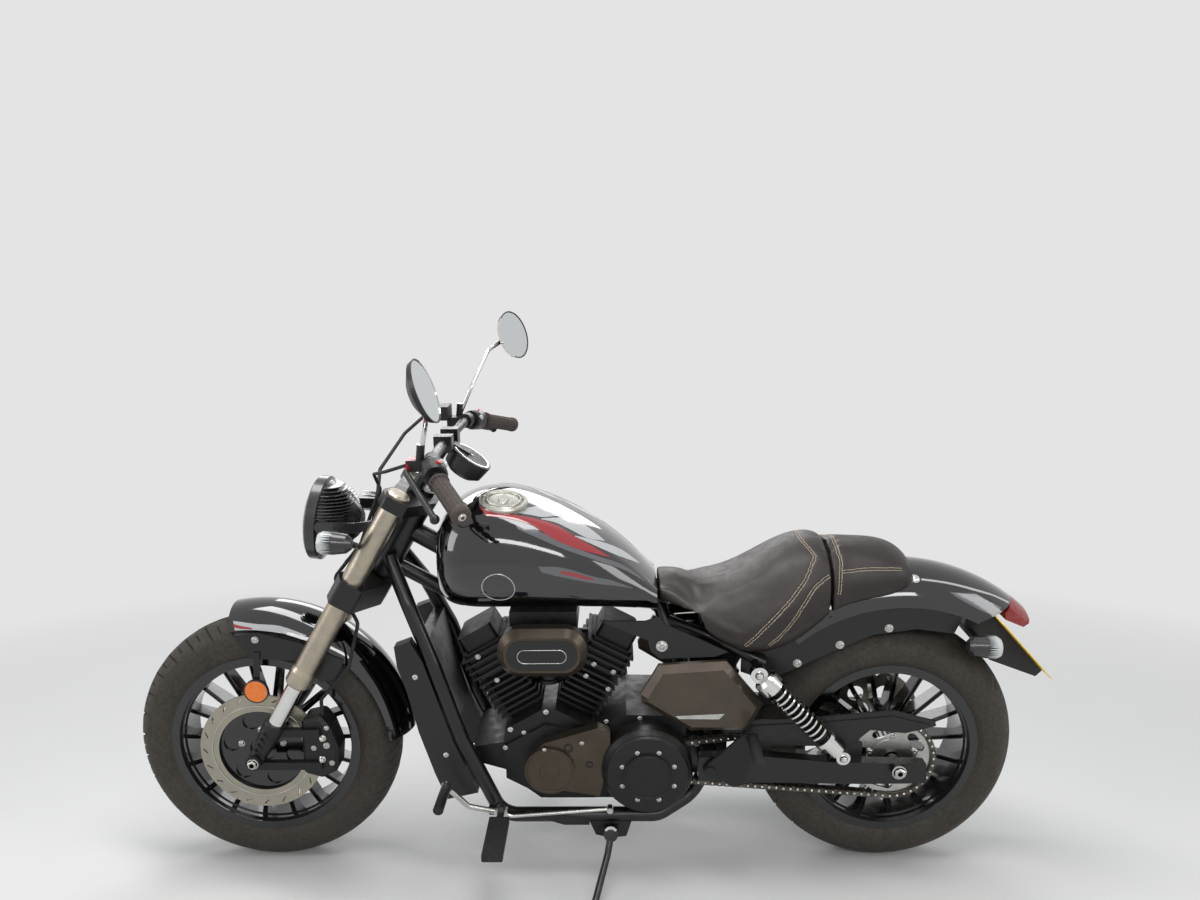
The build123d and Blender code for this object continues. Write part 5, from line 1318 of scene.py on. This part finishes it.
class CRUISER_OT_chain_links(bpy.types.Operator):
    """Outer plates and riveted pin heads on both faces of the chain"""
    bl_idname = "cruiser.chain_links"
    bl_label = "Chain links"

    def execute(self, context):
        shape = Shape()
        pins = chain_pins()
        for index in range(0, len(pins), 2):
            onward = pins[(index + 1) % len(pins)]
            for low, high in PLATE_FACES:
                link_plate(shape, pins[index], onward, low, high)
        for pin in pins:
            for face, side in PIN_FACES:
                start = Vector((pin.x, face, pin.z))
                turned(shape, [(0.0, 2.7), (1.9, 2.7), (2.4, 2.0), (2.4, 0.0)], start,
                       start + Vector((0.0, side, 0.0)), 10, 1)
        piece("chain_plates", shape, ["chain", "zinc"], body_of("chain"))
        return {"FINISHED"}


# Middle line of the lamp, and how far along it the fins run, then their edge and the shell under them as
# distance along that line and radius
LAMP_BACK = Vector((466.0, 0.0, 822.0))
LAMP_FRONT = Vector((566.0, 0.0, 834.0))
FIN_START = 16.0
FIN_LENGTH = 58.0
FIN_STEPS = 12
FIN_EDGE = ((16.0, 54.0), (30.0, 70.0), (44.0, 79.0), (58.0, 85.0), (74.0, 89.0))
LAMP_SHELL = ((4.0, 34.0), (26.0, 56.0), (60.0, 78.0), (72.0, 86.0), (76.0, 93.0))
# Heights of the lowest and the highest fin over the middle line, half a fin's thickness, and its edge's radius
FIN_LOW = 22.0
FIN_HIGH = 78.0
FIN_HALF = 1.0
FIN_BEAD = 1.1


def radius_at(profile, place):
    """Radius of a profile at one distance along it."""
    for (low, low_r), (high, high_r) in zip(profile, profile[1:]):
        if place <= high:
            return low_r + (high_r - low_r) * (place - low) / (high - low)
    raise RuntimeError(f"the profile ends before {place}")


def lamp_fin(shape, height, side, toward, above):
    """One level fin on one side of the lamp, with a rounded edge."""
    def spot(place, out, rise):
        return LAMP_BACK + toward * place + above * (height + rise) + Vector((0.0, side * out, 0.0))

    outer = []
    inner = []
    for step in range(FIN_STEPS + 1):
        place = FIN_START + FIN_LENGTH * step / FIN_STEPS
        edge_r = radius_at(FIN_EDGE, place)
        shell_r = radius_at(LAMP_SHELL, place)
        if edge_r > abs(height) + 1.0:
            outer.append((place, math.sqrt(edge_r * edge_r - height * height)))
            inner.append((place, max(0.0, math.sqrt(max(shell_r * shell_r - height * height, 0.0)) - 2.0)))
    count = len(outer)
    if count < 2:
        return
    points = [spot(place, out, rise) for rise in (-FIN_HALF, FIN_HALF) for place, out in outer + inner]
    total = 2 * count
    faces = []
    for step in range(count - 1):
        low = (step, step + 1, count + step + 1, count + step)
        faces.append(low)
        faces.append(tuple(total + corner for corner in reversed(low)))
        faces.append((step + 1, step, total + step, total + step + 1))
        faces.append((count + step, count + step + 1, total + count + step + 1, total + count + step))
    faces.append((0, count, total + count, total))
    faces.append((2 * count - 1, count - 1, total + count - 1, total + 2 * count - 1))
    shape.add(points, faces)
    swept(shape, [spot(place, out, 0.0) for place, out in outer], FIN_BEAD, 8)


class CRUISER_OT_headlamp_detail(bpy.types.Operator):
    """Cooling fins with rounded edges above the bracket on each side of the lamp's shell"""
    bl_idname = "cruiser.headlamp_detail"
    bl_label = "Headlamp detail"

    def execute(self, context):
        fins = context.scene.cruiser_trim.lamp_fins
        shape = Shape()
        toward = (LAMP_FRONT - LAMP_BACK).normalized()
        above = Vector((-toward.z, 0.0, toward.x))
        for row in range(fins):
            height = FIN_LOW + (FIN_HIGH - FIN_LOW) * row / (fins - 1)
            for side in (1.0, -1.0):
                lamp_fin(shape, height, side, toward, above)
        piece("headlamp_fins", shape, ["grey_abs"], "steering")
        return {"FINISHED"}


# Instrument and hand controls

class CRUISER_OT_dial(bpy.types.Operator):
    """Instrument face with tick marks, needle and bright ring"""
    bl_idname = "cruiser.dial"
    bl_label = "Instrument"

    def execute(self, context):
        shape = Shape()
        low = Vector((214.0, 0.0, 968.0))
        toward = (Vector((184.0, 0.0, 1010.0)) - low).normalized()
        seat = surface("gauge").ray_cast(low + toward * 120.0, -toward)[0]
        face = [(-0.5, 0.0), (0.6, 0.0), (0.6, 39.0), (-0.5, 39.0)]
        ring = [(-1.0, 40.0), (1.4, 40.5), (2.0, 42.5), (1.4, 44.5), (-1.0, 45.0)]
        turned(shape, face, seat, seat + toward, 64)
        turned(shape, ring, seat, seat + toward, 64, 1)
        across, third = square_axes(toward)[1:]
        for index in range(31):
            angle = math.radians(-125.0 + 250.0 * index / 30)
            out = across * math.cos(angle) + third * math.sin(angle)
            length = 7.0 if index % 5 == 0 else 3.6
            tick = [seat + toward * 0.8 + out * 36.0, seat + toward * 0.8 + out * (36.0 - length)]
            swept(shape, tick, 0.55, 6, finish=2)
        needle = [seat + toward * 1.0, seat + toward * 1.0 + across * -24.0 + third * 14.0]
        swept(shape, needle, [1.1, 0.5], 6, finish=3)
        turned(shape, [(0.0, 4.0), (2.4, 4.0), (3.0, 3.0), (3.0, 0.0)], seat, seat + toward, 24, 1)
        piece("gauge_face", shape, ["dial", "chrome", "white_film", "button"], "steering")
        return {"FINISHED"}


class CRUISER_OT_hand_detail(bpy.types.Operator):
    """Raised ribs of the grips, bar-end screws and switches"""
    bl_idname = "cruiser.hand_detail"
    bl_label = "Hand detail"

    def execute(self, context):
        grips = Shape()
        small = Shape()
        for side in (1.0, -1.0):
            inner = Vector((231.0, side * 297.0, 992.0))
            outer = Vector((169.0, side * 410.0, 957.0))
            along, across, third = square_axes(outer - inner)
            for index in range(14):
                angle = 2.0 * math.pi * index / 14
                out = across * math.cos(angle) + third * math.sin(angle)
                path = []
                for step in range(9):
                    spot = inner.lerp(outer, 0.08 + 0.8 * step / 8)
                    seat = surface("grips").ray_cast(spot + out * 40.0, -out)[0]
                    if seat is not None:
                        path.append(seat)
                if len(path) > 2:
                    swept(grips, path, 1.0, 6)
            end = surface("grips").ray_cast(outer + along * 80.0, -along)[0]
            if end is not None:
                socket_bolt(small, end, along, 6.0, 3.0, 0)
            for share, degrees, finish in ((-0.22, 40.0, 1), (-0.3, 80.0, 2), (-0.36, 120.0, 2)):
                angle = math.radians(degrees)
                out = Vector((-math.sin(angle) * 0.8, 0.0, math.cos(angle) * 0.6 + 0.3)).normalized()
                out = (out - along * out.dot(along)).normalized()
                spot = inner.lerp(outer, share)
                seat = surface("hand_controls").ray_cast(spot + out * 70.0, -out)[0]
                if seat is not None:
                    knob = [(-2.0, 6.0), (2.0, 6.0), (3.4, 5.0), (3.4, 0.0)]
                    turned(small, knob, seat, seat + out, 20, finish)
        piece("grip_ribs", grips, ["grip"], "steering")
        piece("hand_switches", small, ["zinc", "button", "smoke_lens"], "steering")
        return {"FINISHED"}


# Stage

# Colour of the plain backdrop, and how far the floor reaches each way in metres
BACKDROP = "#e4e4e4"
FLOOR_REACH = 30.0
# Distances in metres between which the floor runs into the backdrop
FADE_FROM = 1.6
FADE_TO = 3.6

# The photograph's camera as fitted: place in metres, turns in degrees, focal length and frame width in pixels,
# and the sensor's width in millimetres
CAMERA_PLACE = (-0.0785, 1.9521, 1.1131)
CAMERA_TURNS = (0.925, 4.219, -0.551)
FOCAL_PIXELS = 902.95
FRAME_PIXELS = 1200.0
SENSOR = 36.0


def floor_material():
    """Plain pale painted floor that takes the machine's shadow."""
    material, tree, shader, place = blank("Pale studio floor")
    tone = spread(tree, noise(tree, place, 300.0, 3.0), 0.0, 0.25)
    tree.links.new(blend_colour(tree, tone, paint("#dcdcda"), paint("#d6d6d4")), shader.inputs["Base Color"])
    shader.inputs["Roughness"].default_value = 0.75
    raise_bump(tree, shader, noise(tree, place, 4.0, 2.0), 0.1)
    # Away from the machine the floor runs into the even backdrop, for the camera and in gloss
    reach = add_node(tree, "ShaderNodeVectorMath", {0: place}, operation="LENGTH").outputs["Value"]
    away = spread(tree, reach, 0.0, 1.0, FADE_FROM, FADE_TO)
    light_path = add_node(tree, "ShaderNodeLightPath")
    seen = combine(tree, "MAXIMUM", light_path.outputs["Is Camera Ray"], light_path.outputs["Is Glossy Ray"])
    backdrop = add_node(tree, "ShaderNodeEmission", {"Color": paint(BACKDROP), "Strength": 1.0})
    mixed = add_node(tree, "ShaderNodeMixShader", {0: combine(tree, "MULTIPLY", away, seen),
                                                   1: shader.outputs["BSDF"], 2: backdrop.outputs["Emission"]})
    output = next(node for node in tree.nodes if node.type == "OUTPUT_MATERIAL")
    tree.links.new(mixed.outputs["Shader"], output.inputs["Surface"])
    return material


def soft_lamp(name, place, target, size, power):
    """Square softbox that faces one point."""
    data = bpy.data.lights.new(name, "AREA")
    data.shape = "RECTANGLE"
    data.size, data.size_y = size
    data.energy = power
    lamp = bpy.data.objects.new(name, data)
    bpy.context.scene.collection.objects.link(lamp)
    lamp.location = place
    lamp.rotation_euler = (Vector(target) - Vector(place)).to_track_quat("-Z", "Y").to_euler()


class CRUISER_OT_stage(bpy.types.Operator):
    """Pale floor, soft lamps, world light and the camera at the photograph's angle"""
    bl_idname = "cruiser.stage"
    bl_label = "Stage"

    def execute(self, context):
        light = context.scene.cruiser_light
        mesh = bpy.data.meshes.new("Studio floor")
        corners = [(x * FLOOR_REACH, y * FLOOR_REACH, 0) for x, y in ((-1, -1), (1, -1), (1, 1), (-1, 1))]
        mesh.from_pydata(corners, [], [(0, 1, 2, 3)])
        floor = bpy.data.objects.new("Studio floor", mesh)
        mesh.materials.append(floor_material())
        context.scene.collection.objects.link(floor)
        world = bpy.data.worlds.new("Studio world")
        world.use_nodes = True
        tree = world.node_tree
        tree.nodes.clear()
        light_path = add_node(tree, "ShaderNodeLightPath")
        seen = light_path.outputs["Is Camera Ray"]
        for ray in ("Is Transmission Ray", "Is Glossy Ray"):
            seen = combine(tree, "MAXIMUM", seen, light_path.outputs[ray])
        inputs = {"Color": paint("#dfe3e8"), "Strength": light.world_light}
        soft = add_node(tree, "ShaderNodeBackground", inputs)
        backdrop = add_node(tree, "ShaderNodeBackground", {"Color": paint(BACKDROP), "Strength": 1.0})
        mixed = add_node(tree, "ShaderNodeMixShader",
                         {0: seen, 1: soft.outputs["Background"], 2: backdrop.outputs["Background"]})
        add_node(tree, "ShaderNodeOutputWorld", {"Surface": mixed.outputs["Shader"]})
        context.scene.world = world
        middle = (0.0, 0.0, 0.5)
        soft_lamp("Ceiling softbox", (0.3, 0.4, 3.2), middle, (3.2, 0.8), light.ceiling_power)
        soft_lamp("Front strip softbox", (-0.6, 3.6, 2.3), middle, (3.2, 0.5), light.strip_power)
        soft_lamp("Tail softbox", (-3.4, 1.4, 1.8), middle, (1.2, 1.6), light.side_power)
        soft_lamp("Nose softbox", (3.4, 1.2, 1.6), middle, (1.2, 1.6), light.side_power)
        soft_lamp("Far softbox", (0.2, -3.2, 2.6), middle, (3.0, 1.2), light.far_power)
        data = bpy.data.cameras.new("Photograph camera")
        data.sensor_width = SENSOR
        data.lens = FOCAL_PIXELS / FRAME_PIXELS * SENSOR
        camera = bpy.data.objects.new("Photograph camera", data)
        context.scene.collection.objects.link(camera)
        yaw, pitch, roll = (math.radians(value) for value in CAMERA_TURNS)
        turn = Matrix.Rotation(yaw, 3, "Z") @ Matrix.Rotation(pitch, 3, "X")
        ahead = turn @ Vector((0.0, -1.0, 0.0))
        right = turn @ Vector((-1.0, 0.0, 0.0))
        above = turn @ Vector((0.0, 0.0, 1.0))
        right, above = (right * math.cos(roll) + above * math.sin(roll),
                        above * math.cos(roll) - right * math.sin(roll))
        camera.matrix_world = Matrix((
            (right.x, above.x, -ahead.x, CAMERA_PLACE[0]),
            (right.y, above.y, -ahead.y, CAMERA_PLACE[1]),
            (right.z, above.z, -ahead.z, CAMERA_PLACE[2]),
            (0.0, 0.0, 0.0, 1.0)))
        context.scene.camera = camera
        context.scene.view_settings.view_transform = "Standard"
        return {"FINISHED"}


# Panel and order of making

class CruiserTyres(bpy.types.PropertyGroup):
    """Sizes of the tyres' treads"""
    groove_depth: FloatProperty(name="Groove depth", description="Depth of the moulded grooves",
                                default=0.0045, unit="LENGTH")
    groove_width: FloatProperty(name="Groove width", description="Width of a cross groove", default=0.0062,
                                unit="LENGTH")
    front_pitches: IntProperty(name="Front pitches",
                               description="Repeats of the pattern round the front tyre",
                               default=34, min=12)
    rear_pitches: IntProperty(name="Rear pitches", description="Repeats of the pattern round the rear tyre",
                              default=28, min=12)


class CruiserSeats(bpy.types.PropertyGroup):
    """Sizes of the upholstery"""
    net_size: FloatProperty(name="Net size", description="Size of the cover's net before it is rounded",
                            default=0.006, unit="LENGTH")
    draw_in: FloatProperty(name="Draw in", description="How far the foam lies inside before the cover swells",
                           default=0.0035, unit="LENGTH")
    rise_limit: FloatProperty(name="Rise limit", description="Furthest that the swelling moves the cover",
                              default=0.007, unit="LENGTH")
    proud_limit: FloatProperty(name="Proud limit",
                               description="Furthest that the cover stands out of the solid",
                               default=0.0015, unit="LENGTH")
    calm_passes: IntProperty(name="Calm passes",
                             description="How often the swollen cover's folds are evened out",
                             default=6, min=0)
    seam_depth: FloatProperty(name="Seam depth", description="How deep a seam draws the cover in",
                              default=0.0026, unit="LENGTH")


class CruiserTrim(bpy.types.PropertyGroup):
    """Sizes of the small trim"""
    film_lift: FloatProperty(name="Film lift", description="Height of the vinyl film over the enamel",
                             default=0.00035, unit="LENGTH")
    lamp_fins: IntProperty(name="Lamp fins", description="Fins on each side of the headlamp's shell",
                           default=10, min=3)


class CruiserLight(bpy.types.PropertyGroup):
    """Levels of the studio light"""
    world_light: FloatProperty(name="World", description="Strength of the even light all round", default=0.45,
                               min=0.0)
    ceiling_power: FloatProperty(name="Ceiling", description="Power of the softbox overhead", default=64.0,
                                 unit="POWER")
    strip_power: FloatProperty(name="Front strip",
                               description="Power of the strip in front of the camera's side",
                               default=45.0, unit="POWER")
    side_power: FloatProperty(name="Ends", description="Power of the softboxes at nose and tail",
                              default=22.0, unit="POWER")
    far_power: FloatProperty(name="Far side", description="Power of the softbox behind the machine",
                             default=40.0, unit="POWER")


class CRUISER_PT_panel(bpy.types.Panel):
    """Lists the pieces of the machine and their sizes"""
    bl_idname = "CRUISER_PT_panel"
    bl_label = "Cruiser"
    bl_space_type = "VIEW_3D"
    bl_region_type = "UI"
    bl_category = "Cruiser"

    def draw(self, context):
        for group in GROUPS:
            settings = getattr(context.scene, group)
            box = self.layout.box()
            box.label(text=settings.bl_rna.description)
            for name in settings.bl_rna.properties.keys():
                if name not in ("rna_type", "name"):
                    box.prop(settings, name)
        for operator in OPERATORS:
            self.layout.operator(operator.bl_idname)


GROUPS = {"cruiser_tyres": CruiserTyres, "cruiser_seats": CruiserSeats, "cruiser_trim": CruiserTrim,
          "cruiser_light": CruiserLight}
OPERATORS = (
    CRUISER_OT_stage,
    CRUISER_OT_node_finishes,
    CRUISER_OT_zones,
    CRUISER_OT_tyres,
    CRUISER_OT_seats,
    CRUISER_OT_films,
    CRUISER_OT_bolts,
    CRUISER_OT_covers,
    CRUISER_OT_intake,
    CRUISER_OT_front_wheel_detail,
    CRUISER_OT_tank_trim,
    CRUISER_OT_chain_links,
    CRUISER_OT_headlamp_detail,
    CRUISER_OT_dial,
    CRUISER_OT_hand_detail,
)


def register():
    """Adds the settings, the operators and the panel."""
    for made in (*GROUPS.values(), *OPERATORS, CRUISER_PT_panel):
        bpy.utils.register_class(made)
    for name, group in GROUPS.items():
        setattr(bpy.types.Scene, name, PointerProperty(type=group))


def unregister():
    """Takes them away again."""
    for name in GROUPS:
        delattr(bpy.types.Scene, name)
    for made in (CRUISER_PT_panel, *reversed(OPERATORS), *GROUPS.values()):
        bpy.utils.unregister_class(made)


def main():
    """Makes the finishes and every piece in order."""
    register()
    make_finishes()
    for operator in OPERATORS:
        group, action = operator.bl_idname.split(".")
        getattr(getattr(bpy.ops, group), action)()


if __name__ == "__main__":
    main()
